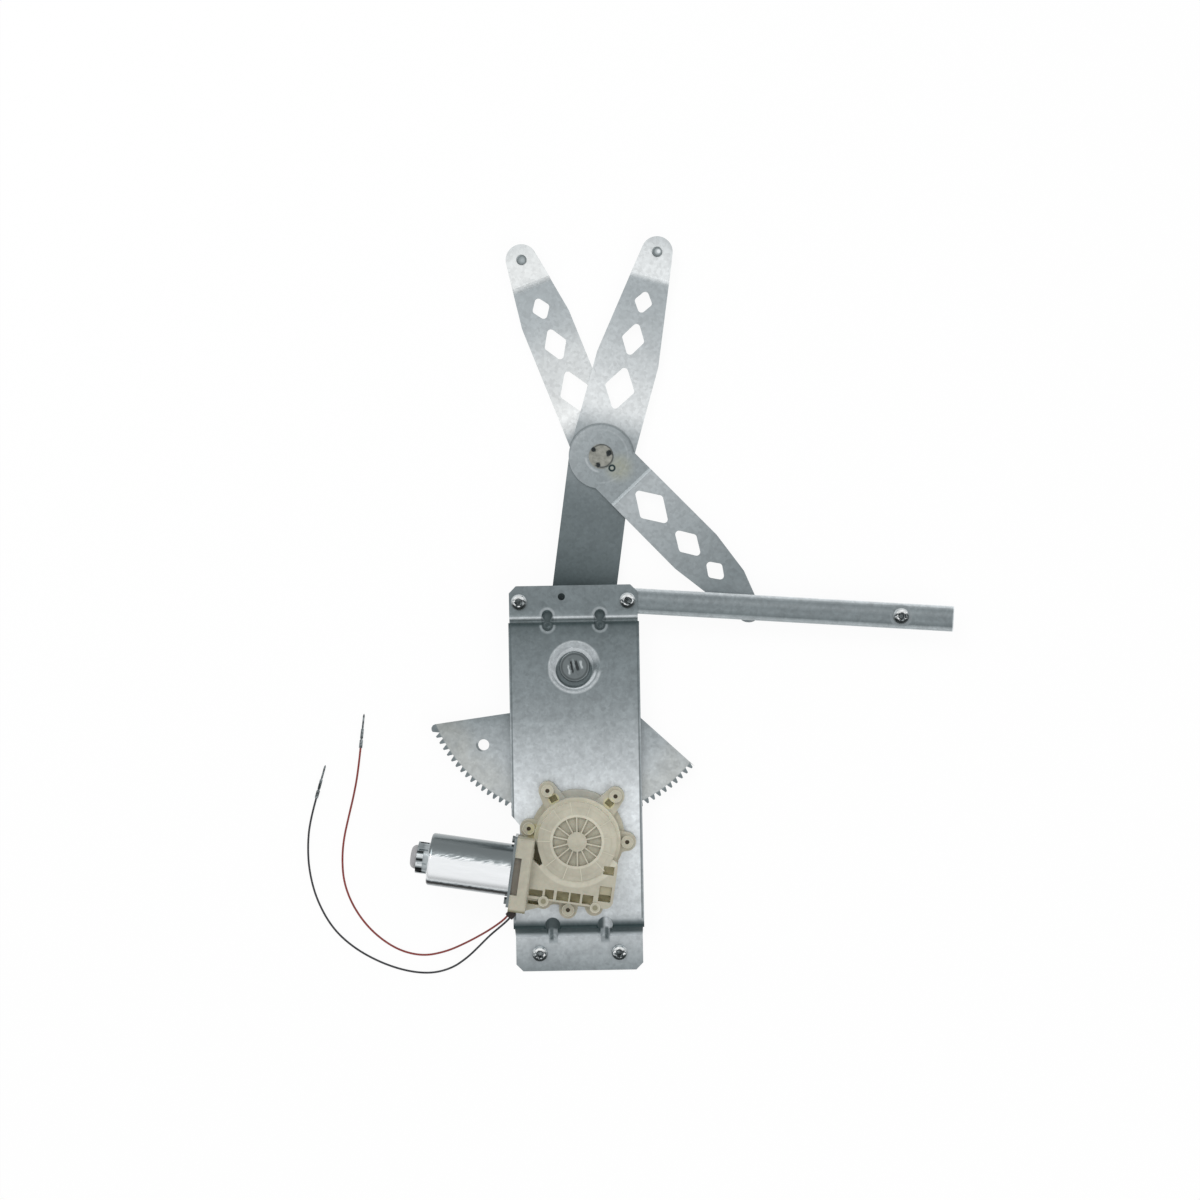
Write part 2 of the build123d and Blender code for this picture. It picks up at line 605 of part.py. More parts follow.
def diamond(at, length, width):
    """Lightening hole: a rounded diamond, long along the arm."""
    shape = Polygon((at - length / 2, 0), (at, -width / 2), (at + length / 2, 0), (at, width / 2),
                    align=None)
    return fillet(shape.vertices(), DIAMOND_CORNER_R)


def both_sides(shape, length):
    """Corners of a plan from its half widths at shares of the length."""
    left = [(at * length, half) for at, half in shape]
    return left + [(x, -y) for x, y in reversed(left)]


def arm_plan(corners, length, tip_r):
    """Plan of an arm along +X from the cross pivot: round hub, given corners, round tip."""
    strip = make_hull([*Polyline(*corners, close=True).edges(),
                       *(Pos(length, 0) * Circle(tip_r)).edges()])
    return strip + Circle(HUB_R)


def half_arm(plan, line, length, pin_r, turn=0.0):
    """Sheet that follows a stepped side line (x, z) under a plan, with holes along it."""
    upper = [(x, z + ARM_T) for x, z in reversed(line)]
    side = Plane.XZ * Polygon(*line, *upper, align=None)
    arm = extrude(side, 2 * HUB_R, both=True) & extrude(plan, CLEAR)
    for at, long, wide in DIAMONDS:
        hole = diamond(at * length, long * length, wide * length)
        arm = arm - Rot(0, 0, turn) * extrude(hole, CLEAR)
    return arm - disc(pin_r, 0, CLEAR, length, 0)


def place_arm(lean):
    return Pos(CROSS_PIVOT.X, CROSS_PIVOT.Y, 0) * Rot(0, 0, 90 - lean)


def tip_line(hub_z, tip_z):
    """Side line of an arm: flat, then joggled forward near its tip."""
    far = HALF_ARM + HUB_R
    start = JOGGLE_AT - JOGGLE_RUN / 2
    return [(-HUB_R - 1, hub_z), (start, hub_z), (start + JOGGLE_RUN, tip_z), (far, tip_z)]


def main_arm():
    plan = arm_plan(both_sides(MAIN_SHAPE, HALF_ARM), HALF_ARM, TIP_R)
    upper = place_arm(MAIN_TIP_LEAN) * half_arm(
        plan, tip_line(MAIN_ARM_Z, ARM_TIP_Z), HALF_ARM, ROLLER_PIN_R)
    strip = make_hull([
        *Circle(MAIN_HALF_W).edges(), *(Pos(HALF_ARM, 0) * Circle(MAIN_HALF_W)).edges()])
    lower = Rot(0, 0, 90 - MAIN_LEAN) * Pos(0, 0, MAIN_ARM_Z) * extrude(strip, ARM_T)
    arm = upper + lower
    arm = arm - disc(PIVOT_PIN_R + RUNNING_GAP, 0, CLEAR)
    arm = arm - disc(BUSH_R + RUNNING_GAP, 0, CLEAR, CROSS_PIVOT.X, CROSS_PIVOT.Y)
    for x, y in SECTOR_RIVET_POINTS:
        arm = arm - disc(SECTOR_RIVET_R, 0, CLEAR, x, y)
    save("main_arm", arm)


def sector_gear():
    pitch = 2 * math.pi / SECTOR_TEETH
    down = -math.pi / 2
    centres = [down + (k + 0.5) * pitch for k in range(-TEETH_LEFT, TEETH_RIGHT)]
    teeth = toothed_edge(SECTOR_TEETH, MODULE, BACKLASH / 2, centres)
    nose = [Vector(*SECTOR_NOSE) + Vector(SECTOR_NOSE_R, 0).rotate(Axis.Z, turn)
            for turn in SECTOR_NOSE_TURNS]
    outline = [(-SECTOR_HUB_R, 0), SECTOR_INNER_CORNER, *[(n.X, n.Y) for n in nose], *teeth,
               SECTOR_RIGHT_CORNER, (SECTOR_HUB_R, SECTOR_WEB_Y)]
    blank = prism(outline, SECTOR_Z, SECTOR_Z + SECTOR_T)
    blank = blank + disc(SECTOR_HUB_R, SECTOR_Z, SECTOR_Z + SECTOR_T)
    blank = blank - disc(SECTOR_HOLE_R, 0, CLEAR, *SECTOR_HOLE)
    blank = blank - disc(PIVOT_PIN_R + RUNNING_GAP, 0, CLEAR)
    for x, y in SECTOR_RIVET_POINTS:
        blank = blank - disc(SECTOR_RIVET_R, 0, CLEAR, x, y)
    save("sector_gear", blank)
    front = SECTOR_Z + SECTOR_T
    rivets = []
    for x, y in SECTOR_RIVET_POINTS:
        rivet = disc(SECTOR_RIVET_R, MAIN_ARM_Z - SECTOR_RIVET_HEAD_T, front, x, y)
        head = disc(SECTOR_RIVET_HEAD_R, MAIN_ARM_Z - SECTOR_RIVET_HEAD_T, MAIN_ARM_Z, x, y)
        rivets.append(rivet + head)
    save("sector_rivets", *rivets)


def cross_arm():
    step = LOWER_STEP_AT - LOWER_STEP
    line = [(-HUB_R - 1, CROSS_LOWER_Z), (step, CROSS_LOWER_Z),
            (step + 2 * LOWER_STEP, LOWER_TIP_Z), (LOWER_ARM + HUB_R, LOWER_TIP_Z)]
    corners = [Vector(at * LOWER_ARM, y).rotate(Axis.Z, LOWER_TURN) for at, y in LOWER_SHAPE]
    plan = arm_plan([(c.X, c.Y) for c in corners], LOWER_ARM, LOWER_TIP_R)
    lower = half_arm(plan, line, LOWER_ARM, GUIDE_PIN_R, LOWER_TURN) - disc(BUSH_R, 0, CLEAR)
    save("cross_arm_lower", place_arm(LOWER_LEAN) * lower)
    plan = arm_plan(both_sides(UPPER_SHAPE, HALF_ARM), HALF_ARM, TIP_R)
    line = tip_line(CROSS_UPPER_Z, ARM_TIP_Z)
    upper = half_arm(plan, line, HALF_ARM, ROLLER_PIN_R) - disc(BUSH_R, 0, CLEAR)
    save("cross_arm_upper", place_arm(UPPER_LEAN) * upper)
    top = CROSS_LOWER_Z + ARM_T + BUSH_PROUD
    bush = disc(BUSH_R, CROSS_UPPER_Z - BUSH_HEAD_T, top)
    bush = bush + disc(BUSH_HEAD_R, CROSS_UPPER_Z - BUSH_HEAD_T, CROSS_UPPER_Z)
    for turn in STAKE_TURNS:
        mark = disc(STAKE_R, top - STAKE_DEPTH, top + 1, STAKE_CIRCLE_R, 0)
        bush = bush - Rot(0, 0, turn) * mark
    save("cross_pivot_bush", Pos(CROSS_PIVOT.X, CROSS_PIVOT.Y, 0) * bush)


def roller_pin():
    """Rivet pin of an upper roller: button head in front, wide foot at the back."""
    top = ARM_TIP_Z + ARM_T
    pin = disc(ROLLER_PIN_R, 0, top)
    head = disc(ROLLER_PIN_HEAD_R, top, top + ROLLER_PIN_HEAD_T)
    head = fillet(head.edges().sort_by(Axis.Z)[-1], ROLLER_PIN_HEAD_T * 0.6)
    return pin + head + disc(ROLLER_PIN_FOOT_R, 0, ROLLER_FOOT_T)


def roller(radius, bore_r, low, high):
    """Grooved plastic roller."""
    middle = (low + high) / 2
    blank = disc(radius, low, high)
    width, depth = ROLLER_GROOVE
    groove = disc(radius + 1, middle - width / 2, middle + width / 2)
    blank = blank - (groove - disc(radius - depth, low, high))
    return blank - disc(bore_r, low - 1, high + 1)


def tip_rollers():
    low, high = ROLLER_FOOT_T + SIDE_GAP, ARM_TIP_Z - SIDE_GAP
    for name, tip in (("main", MAIN_TIP), ("upper", UPPER_TIP)):
        spot = Pos(tip.X, tip.Y, 0)
        save(f"{name}_roller_pin", spot * roller_pin())
        save(f"{name}_roller", spot * roller(ROLLER_R, ROLLER_PIN_R + RUNNING_GAP, low, high))
    spot = Pos(GUIDE_TIP.X, GUIDE_TIP.Y, 0)
    inside = RAIL_FRONT_Z - RAIL_T - SIDE_GAP
    back = LOWER_TIP_Z - GUIDE_PIN_HEAD_T
    pin = disc(GUIDE_PIN_R, back, inside) + disc(GUIDE_PIN_HEAD_R, back, LOWER_TIP_Z)
    pin = pin + disc(GUIDE_PIN_HEAD_R, inside - GUIDE_PIN_HEAD_T, inside)
    save("guide_roller_pin", spot * pin)
    low = RAIL_BACK_Z + RAIL_T + SIDE_GAP
    high = inside - GUIDE_PIN_HEAD_T - SIDE_GAP
    save("guide_roller", spot * roller(GUIDE_ROLLER_R, GUIDE_PIN_R + RUNNING_GAP, low, high))


# ---------------------------------------------------------------------------
# Gear motor: housing, cover, can and their fasteners
# ---------------------------------------------------------------------------

def ear_plan(x, y):
    """One ear of the gear housing in plan: a lug that widens towards the hub."""
    reach = math.hypot(x, y)
    root = HOUSING_R - EAR_ROOT_R
    inner = Pos(x * root / reach, y * root / reach) * Circle(EAR_ROOT_R)
    return make_hull([*(Pos(x, y) * Circle(EAR_R)).edges(), *inner.edges()])


def ears(low, high):
    hub = Pos(0, OUTPUT_Y, low)
    return [hub * extrude(ear_plan(x, y), high - low) for x, y in MOUNT_EARS + COVER_EARS]


def housing_foot(low, high):
    """Body shared by the housing and its cover: skirt, foot of the worm tunnel and ears."""
    shape = Pos(0, OUTPUT_Y, 0) * disc(SKIRT_R, low, high, 0, SKIRT_Y)
    shape = shape + motor_frame() * prism(TUNNEL_FOOT, low, high)
    for ear in ears(low, high):
        shape = shape + ear
    return shape


def can_screw_places():
    """Where the two can screws sit: on the flange's face, pointing at the housing."""
    offset = FLANGE_HALF - CAN_SCREW_EDGE
    return [motor_frame() * Pos(CAN_END, v * offset - WORM_DROP, MOTOR_Z) * Rot(0, 90, 0)
            for v in (-1, 1)]


def cut_all(shape, cutters):
    for cutter in cutters:
        shape = shape - cutter
    return shape


def spoke_recess():
    """Round recess in the housing's face with radial ribs left standing."""
    floor = HOUSING_TOP_Z - SPOKE_DEPTH
    ring = disc(SPOKE_RECESS_R, floor, CLEAR) - disc(SPOKE_HUB_R, 0, CLEAR)
    for k in range(SPOKES):
        rib = slab(SPOKE_HUB_R - 1, SPOKE_RECESS_R + 1, -SPOKE_T / 2, SPOKE_T / 2,
                   0, HOUSING_TOP_Z - SPOKE_DROP)
        ring = ring - Rot(0, 0, 360 * (k + 0.5) / SPOKES) * rib
    return ring


def housing_pockets():
    """Everything moulded hollow in the housing's outer faces."""
    hub = Pos(0, OUTPUT_Y, 0)
    motor = motor_frame()
    pockets = [hub * spoke_recess()]
    pockets += [motor * slab(u0, u1, v0, v1, floor, CLEAR) for u0, u1, v0, v1, floor in POCKETS]
    long, wide, floor = EAR_POCKET
    for x, y in EAR_POCKETS:
        turn = math.degrees(math.atan2(y, x))
        pockets.append(hub * Pos(x, y, 0) * Rot(0, 0, turn)
                       * slab(-long / 2, long / 2, -wide / 2, wide / 2, floor, CLEAR))
    pockets.append(hub * prism(WEDGE, WEDGE_FLOOR_Z, CLEAR))
    depth, v0, v1, floor = BLOCK_PANEL
    start = CAN_END + FLANGE_T
    pockets.append(motor * slab(start - 1, start + depth, v0, v1, floor, CLEAR))
    return pockets


def housing_rooms():
    """Room for the wheel, the worm, the bearing, the brushes and the output shaft."""
    low = COVER_TOP_Z
    block_start = CAN_END + FLANGE_T
    length = TUNNEL_END - HOUSING_WALL - BLOCK_END
    wheel = disc(CAVITY_R, low - 1, WHEEL_Z + WHEEL_W + SIDE_GAP)
    shaft = disc(OUTPUT_R + RUNNING_GAP, low, SHAFT_TOP_Z + SIDE_GAP)
    return [
        Pos(0, OUTPUT_Y, 0) * (wheel + shaft),
        along_armature(WORM_TIP_R + HOUSING_WALL / 2, BLOCK_END - 1, length - BEARING_LENGTH),
        along_armature(BEARING_R, BLOCK_END, length),
        along_armature(CHAMBER_R, block_start - 1, BLOCK_END - block_start),
    ]


def gear_housing():
    hub = Pos(0, OUTPUT_Y, 0)
    block_start = CAN_END + FLANGE_T
    low = COVER_TOP_Z
    body = disc(HOUSING_R, low, HOUSING_TOP_Z)
    body = chamfer(body.edges().sort_by(Axis.Z)[-1], HOUSING_RIM_W / 2)
    rim = disc(HOUSING_R + 1, HOUSING_RIM_Z, CLEAR) - disc(HOUSING_R - HOUSING_RIM_W, 0, CLEAR)
    roof = slab(BLOCK_END - 1, TUNNEL_END, TUNNEL_LOW, TUNNEL_HIGH, low, TUNNEL_TOP_Z)
    roof = fillet(roof.edges().filter_by(Axis.Z).group_by(Axis.X)[-1], TUNNEL_CORNER_R)
    block = slab(block_start, BLOCK_END, BLOCK_LOW, BLOCK_HIGH, low, BLOCK_TOP_Z)
    block = chamfer(block.edges().group_by(Axis.Z)[-1], HOUSING_WALL / 2)
    bridge = slab(BLOCK_END - 1, BRIDGE_END, TUNNEL_LOW, BLOCK_HIGH, low, BRIDGE_TOP_Z)
    gusset = prism(GUSSET, low, GUSSET_TOP_Z)
    shape = hub * Rot(0, 0, MOTOR_TILT) * (body - rim + roof + block + bridge + gusset)
    shape = shape + housing_foot(low, SKIRT_TOP_Z)
    for ear in ears(low, EAR_TOP_Z):
        shape = shape + ear
    for x, y in MOUNT_EARS + COVER_EARS:
        shape = shape + hub * disc(EAR_HOLE_R + EAR_BOSS_WALL, low, EAR_TOP_Z + EAR_BOSS_H, x, y)
    shape = cut_all(shape, housing_rooms() + housing_pockets())
    for x, y in MOUNT_EARS + COVER_EARS:
        shape = shape - hub * disc(EAR_HOLE_R, low - 1, CLEAR, x, y)
    for place in can_screw_places():
        shape = shape - place * Cylinder(CAN_SCREW_R, 2 * CAN_SCREW_LENGTH)
    seat = grommet_place() * Cylinder(GROMMET_STEM_R, 2 * GROMMET_START + 1)
    shape = shape - seat
    save("gear_housing", shape.solids().sort_by(SortBy.VOLUME)[-1])


def gear_cover():
    """Flat cover on the plate side, with the tube that carries the output shaft."""
    hub = Pos(0, OUTPUT_Y, 0)
    cover = housing_foot(PLATE_FRONT_Z, COVER_TOP_Z)
    edge = -PLATE_W / 2 + NOTCH_DEPTH + COVER_INSET
    cover = cover - slab(-PLATE_W, edge, OUTPUT_Y - CLEAR, OUTPUT_Y, 0, CLEAR)
    cover = cover + hub * disc(BEARING_TUBE_R, BEARING_TUBE_Z, WHEEL_Z - DRIVE_PLATE_T - SIDE_GAP)
    cover = cover - hub * disc(OUTPUT_R + RUNNING_GAP, 0, CLEAR)
    for x, y in MOUNT_EARS + COVER_EARS:
        cover = cover - hub * disc(EAR_HOLE_R + SEAT_GAP, 0, CLEAR, x, y)
    save("gear_cover", cover.solids().sort_by(SortBy.VOLUME)[-1])


def screw(x, y, end):
    """Pan-head screw from behind the plate into an ear, with a cross recess in its head."""
    top = MAIN_PLATE_Z
    head = disc(SCREW_HEAD_R, top - SCREW_HEAD_T, top, x, y)
    long, wide, deep = SCREW_CROSS
    cross = Box(long, wide, 2 * deep) + Box(wide, long, 2 * deep)
    return head - Pos(x, y, top - SCREW_HEAD_T) * cross + disc(EAR_HOLE_R, top, end, x, y)


def motor_fasteners():
    hub = Pos(0, OUTPUT_Y, 0)
    end = EAR_TOP_Z + SCREW_PROUD
    save("motor_screws", *[hub * screw(x, y, end) for x, y in MOUNT_EARS])
    save("cover_pins", *[
        hub * disc(EAR_HOLE_R, PLATE_FRONT_Z + SEAT_GAP, end, x, y) for x, y in COVER_EARS])
    head = Pos(0, 0, -CAN_SCREW_HEAD_T / 2) * Cylinder(CAN_SCREW_HEAD_R, CAN_SCREW_HEAD_T)
    shank = Pos(0, 0, CAN_SCREW_LENGTH / 2) * Cylinder(CAN_SCREW_R, CAN_SCREW_LENGTH)
    save("can_screws", *[place * (head + shank) for place in can_screw_places()])


def motor_can():
    length = CAN_END - CAN_START
    can = along_armature(CAN_R, CAN_START, length)
    ends = can.edges().filter_by(GeomType.CIRCLE)
    centre = motor_frame() * Pos(CAN_START, -WORM_DROP, MOTOR_Z)
    closed_end = ends.sort_by_distance(centre.position)[0]
    can = fillet(closed_end, CAN_CORNER_R)
    can = can - along_armature(CAN_R - CAN_WALL, CAN_START + CAN_WALL, length)
    can = can - along_armature(BEARING_R, CAN_START - 1, 2 * CAN_WALL)
    save("motor_can", can)
    # bearing cup pressed on the closed end, with slots round its rim
    cup_end = CAN_START - CUP_LEN
    cup = along_armature(CUP_R, cup_end, CUP_LEN)
    cup = cup - along_armature(BEARING_R, cup_end + CUP_WALL, CUP_LEN)
    cup = cup - along_armature(BEARING_R, cup_end - 1, CUP_WALL + 2)
    slot_w, slot_depth = CUP_SLOT
    slot = Pos(0, 0, CUP_R) * Box(CUP_LEN - 2 * CUP_WALL, slot_w, 2 * slot_depth)
    place = motor_frame() * Pos(CAN_START - CUP_LEN / 2, -WORM_DROP, MOTOR_Z)
    for k in range(CUP_SLOTS):
        cup = cup - place * Rot(360 * (k + 0.25) / CUP_SLOTS, 0, 0) * slot
    save("bearing_cup", cup)
    dome = along_armature(DOME_R, cup_end - DOME_LEN, DOME_LEN)
    outer = dome.edges().filter_by(GeomType.CIRCLE)
    tip = motor_frame() * Pos(cup_end - DOME_LEN, -WORM_DROP, MOTOR_Z)
    save("end_cap", fillet(outer.sort_by_distance(tip.position)[0], DOME_LEN * 0.9))
    save("rear_bearing",
         along_armature(BEARING_R, CAN_START - BEARING_LENGTH, BEARING_LENGTH)
         - along_armature(SHAFT_R + RUNNING_GAP, CAN_START - BEARING_LENGTH - 1, BEARING_LENGTH + 2))


def motor_flange():
    place = motor_frame() * Pos(CAN_END + FLANGE_T / 2, -WORM_DROP, MOTOR_Z)
    flange = Box(FLANGE_T, 2 * FLANGE_HALF, FLANGE_H)
    flange = place * fillet(flange.edges().filter_by(Axis.X), FLANGE_CORNER_R)
    flange = flange - along_armature(COMMUTATOR_R + CAN_WALL, CAN_END - 1, FLANGE_T + 2)
    for place in can_screw_places():
        flange = flange - place * Cylinder(CAN_SCREW_R, 2 * CAN_SCREW_LENGTH)
    save("motor_flange", flange)


def magnets():
    """Two magnet shells inside the can, a little longer than the core."""
    start, length = CORE_START - MAGNET_OVERHANG, CORE_LENGTH + 2 * MAGNET_OVERHANG
    ring = along_armature(CAN_R - CAN_WALL, start, length)
    ring = ring - along_armature(CORE_R + MAGNET_GAP, start - 1, length + 2)
    place = motor_frame() * Pos(CORE_START + CORE_LENGTH / 2, -WORM_DROP, MOTOR_Z)
    gap = place * Box(2 * length, 2 * CAN_R, MAGNET_SPLIT)
    save("magnets", *(ring - gap).solids())


# ---------------------------------------------------------------------------
# Armature, gear train and brushes
# ---------------------------------------------------------------------------

def armature():
    start = CAN_START - BEARING_LENGTH + SIDE_GAP
    end = TUNNEL_END - HOUSING_WALL - SIDE_GAP
    shaft = along_armature(SHAFT_R, start, end - start)
    thread = along_armature(WORM_TIP_R, -WORM_LENGTH / 2, WORM_LENGTH)
    pitch = math.pi * WHEEL_MODULE
    for k in range(int(WORM_LENGTH / pitch)):
        groove = along_armature(WORM_TIP_R + 1, -WORM_LENGTH / 2 + pitch * (k + 0.3), pitch * 0.45)
        thread = thread - (groove - along_armature(WORM_ROOT_R, -WORM_LENGTH, 2 * WORM_LENGTH))
    save("armature_shaft", shaft + thread)
    core = along_armature(CORE_R, CORE_START, CORE_LENGTH)
    place = motor_frame() * Pos(CORE_START + CORE_LENGTH / 2, -WORM_DROP, MOTOR_Z)
    slot_w, slot_depth = CORE_SLOT
    slot = Pos(0, 0, CORE_R) * Box(2 * CORE_LENGTH, slot_w, 2 * slot_depth)
    coil_w, coil_depth, overhang = WINDING
    at = CORE_R - slot_depth + SEAT_GAP + coil_depth / 2
    coil = Pos(0, 0, at) * Box(CORE_LENGTH + 2 * overhang, coil_w, coil_depth)
    turns = [place * Rot(360 * k / CORE_SLOTS, 0, 0) for k in range(CORE_SLOTS)]
    core = cut_all(core, [turn * slot for turn in turns])
    core = core - along_armature(SHAFT_R, CORE_START - 1, CORE_LENGTH + 2)
    save("armature_core", core)
    save("armature_windings", *[turn * coil for turn in turns])
    commutator = along_armature(COMMUTATOR_R, COMMUTATOR_START, COMMUTATOR_LENGTH)
    commutator = commutator - along_armature(SHAFT_R, COMMUTATOR_START - 1, COMMUTATOR_LENGTH + 2)
    save("commutator", commutator)
    bearing_at = TUNNEL_END - HOUSING_WALL - BEARING_LENGTH
    save("front_bearing",
         along_armature(BEARING_R, bearing_at, BEARING_LENGTH)
         - along_armature(SHAFT_R + RUNNING_GAP, bearing_at - 1, BEARING_LENGTH + 2))


def brush_gear():
    """Brush holder ring in the housing's chamber and two carbon brushes on the commutator."""
    start = CAN_END + FLANGE_T
    middle = COMMUTATOR_START + COMMUTATOR_LENGTH / 2
    length = BLOCK_END - start - 1
    holder = along_armature(CHAMBER_R, start, length)
    holder = holder - along_armature(COMMUTATOR_R + 2 * SIDE_GAP, start - 1, length + 2)
    along, across, towards = BRUSH
    place = motor_frame() * Pos(middle, -WORM_DROP, MOTOR_Z) * Rot(BRUSH_TURN, 0, 0)
    brushes = []
    for side in (-1, 1):
        at = side * (COMMUTATOR_R + SIDE_GAP + towards / 2)
        brushes.append(place * Pos(0, 0, at) * Box(along, across, towards))
        holder = holder - place * Pos(0, 0, at) * Box(along, across, towards + 2 * BRUSH_SLOT)
    save("brush_holder", holder)
    save("brushes", *brushes)


def gear_train():
    """Worm wheel, rubber damper, drive plate and the output shaft with its pinion."""
    hub = Pos(0, OUTPUT_Y, 0)
    wheel = spur_gear(WHEEL_TEETH, WHEEL_MODULE, BACKLASH, 0, WHEEL_Z, WHEEL_Z + WHEEL_W)
    web = WHEEL_Z + WHEEL_W - WHEEL_WEB
    low = web - DAMPER_T
    lug_top = low + DAMPER_T / 2
    plate_top = WHEEL_Z + DRIVE_PLATE_T
    wheel = wheel - disc(WHEEL_CAVITY_R, WHEEL_Z - 1, web) - disc(OUTPUT_R, 0, CLEAR)
    damper = disc(WHEEL_CAVITY_R - SEAT_GAP, low, web) - disc(OUTPUT_R, 0, CLEAR)
    drive = disc(WHEEL_CAVITY_R - SIDE_GAP, WHEEL_Z, plate_top)
    reach, stop_w = DAMPER_STOP
    to_shaft, to_rim, lug_w = DRIVE_LUG
    for k in range(DAMPER_POCKETS):
        turn = Rot(0, 0, 360 * k / DAMPER_POCKETS)
        end, half = WHEEL_CAVITY_R - reach, stop_w / 2
        wheel = wheel + turn * slab(end, WHEEL_CAVITY_R + 1, -half, half, plate_top, web)
        end, half = end - SEAT_GAP, half + SEAT_GAP
        damper = damper - turn * slab(end, WHEEL_CAVITY_R + 1, -half, half, 0, CLEAR)
        turn = Rot(0, 0, 360 * (k + 0.5) / DAMPER_POCKETS)
        near, far, half = OUTPUT_R + to_shaft, WHEEL_CAVITY_R - to_rim, lug_w / 2
        drive = drive + turn * slab(near, far, -half, half, WHEEL_Z, lug_top)
        near, far, half = near - SEAT_GAP, far + SEAT_GAP, half + SEAT_GAP
        damper = damper - turn * slab(near, far, -half, half, 0, lug_top + SEAT_GAP)
    save("worm_wheel", hub * wheel)
    save("damper", hub * damper)
    save("drive_plate", hub * (drive - disc(OUTPUT_R, 0, CLEAR)))
    # a tooth of the pinion points at the pivot, into a gap of the sector
    pinion = spur_gear(PINION_TEETH, MODULE, BACKLASH / 2, 90, PINION_Z, PINION_Z + PINION_W)
    save("output_pinion", hub * (pinion + disc(OUTPUT_R, PINION_Z, SHAFT_TOP_Z)))


# ---------------------------------------------------------------------------
# Wires: chosen points from the main pivot, in plan, with their heights
# ---------------------------------------------------------------------------

RED_ROUTE = [
    (-55.4, -192.9, 30.0), (-58.1, -195.9, 29.8), (-66.5, -202.3, 25.2), (-76.0, -208.8, 18.0),
    (-90.0, -217.2, 8.0), (-105.5, -224.5, 1.6), (-123.0, -227.9, 1.0), (-140.3, -224.3, 1.0),
    (-155.6, -215.4, 1.0), (-169.2, -202.5, 1.0), (-179.9, -186.1, 1.0), (-186.1, -168.6, 1.0),
    (-187.3, -151.2, 1.0), (-185.8, -134.5, 1.0), (-181.5, -116.6, 1.0), (-177.2, -100.0, 1.0),
    (-173.4, -81.4, 1.2), (-171.0, -61.8, 1.4),
]
BLACK_ROUTE = [
    (-53.6, -194.5, 30.0), (-56.3, -197.5, 29.8), (-64.2, -204.3, 25.2), (-71.0, -210.6, 19.0),
    (-79.6, -220.0, 10.0), (-89.4, -229.8, 3.0), (-101.9, -238.2, 1.0), (-118.5, -242.0, 1.0),
    (-138.2, -239.6, 1.0), (-159.4, -232.0, 1.0), (-179.7, -220.1, 1.0), (-196.1, -204.4, 1.0),
    (-207.9, -182.1, 1.0), (-213.5, -159.5, 1.0), (-214.4, -138.9, 1.0), (-212.2, -119.2, 1.2),
    (-206.8, -101.0, 1.4),
]


def route_radii(points):
    """Bend radius at each inner point: 0.45 of the shorter run over tan(half the turn)."""
    radii = []
    for a, b, c in zip(points, points[1:], points[2:]):
        before, after = Vector(*b) - Vector(*a), Vector(*c) - Vector(*b)
        half_turn = math.radians(before.get_angle(after)) / 2
        radii.append(0.45 * min(before.length, after.length) / math.tan(half_turn))
    return radii


def wire(name, points):
    radii = route_radii(points)
    path = FilletPolyline(*points, radius=radii)
    start = Plane(origin=points[0], z_dir=Vector(*points[1]) - Vector(*points[0]))
    tube = sweep(start * Circle(WIRE_D / 2), path=path)
    print(f"{name}: length {path.length:.1f}, volume {tube.volume:.1f} against "
          f"{path.length * math.pi * (WIRE_D / 2) ** 2:.1f}, radii "
          + " ".join(f"{r:.0f}" for r in radii))
    save(name, tube)


def terminal(name, points):
    """Crimped pin terminal in line with the wire's end."""
    direction = (Vector(*points[-1]) - Vector(*points[-2])).normalized()
    flat = Vector(direction.X, direction.Y, 0).normalized()
    place = Plane(origin=Vector(*points[-1]), z_dir=direction, x_dir=flat.cross(Vector(0, 0, 1)))
    stretches = (SHEATH_CRIMP, CRIMP_NECK, CORE_CRIMP, (PIN_R, PIN_LENGTH - PIN_POINT))
    bars, at = [], 0.0
    for radius, length in stretches:
        bars.append(Pos(0, 0, at + length / 2) * Cylinder(radius, length))
        at += length
    bars.append(Pos(0, 0, at + PIN_POINT / 2) * Cone(PIN_R, PIN_R / 3, PIN_POINT))
    shape = bars[0]
    for bar in bars[1:]:
        shape = shape + bar
    save(name, place * shape)


def grommet_place():
    """Where the wires leave the block: on its outer corner, the sleeve's axis along +Z."""
    corner = motor_frame() * Pos(GROMMET_U, BLOCK_LOW, WIRE_EXIT_Z)
    return Pos(*corner.position) * Rot(0, 0, GROMMET_TURN) * Rot(90, 0, 0)


def wire_grommet():
    """Rubber sleeve on the wires, its stem held in the block."""
    body = Pos(0, 0, GROMMET_START + GROMMET_LENGTH / 2) * Cylinder(GROMMET_R, GROMMET_LENGTH)
    stem = Cylinder(GROMMET_STEM_R, 2 * GROMMET_START)
    save("wire_grommet", grommet_place() * (body + stem))


base_plate()
guide_rail()
nuts()
main_pivot()
main_arm()
sector_gear()
cross_arm()
tip_rollers()
gear_housing()
gear_cover()
motor_fasteners()
motor_can()
motor_flange()
magnets()
armature()
brush_gear()
gear_train()
wire("red_wire", RED_ROUTE)
wire("black_wire", BLACK_ROUTE)
terminal("red_terminal", RED_ROUTE)
terminal("black_terminal", BLACK_ROUTE)
wire_grommet()
print(len(written), "sub-parts written")
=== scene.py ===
"""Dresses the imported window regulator: finishes, wires, small mesh pieces, stage and camera.

Laid out as a Blender add-on and run as a script. The part's own frame has +X along the guide rail,
+Y up the door, +Z towards the motor side and the floor at z = 0. Settings are in metres; tables of
tones and places are in millimetres.
"""

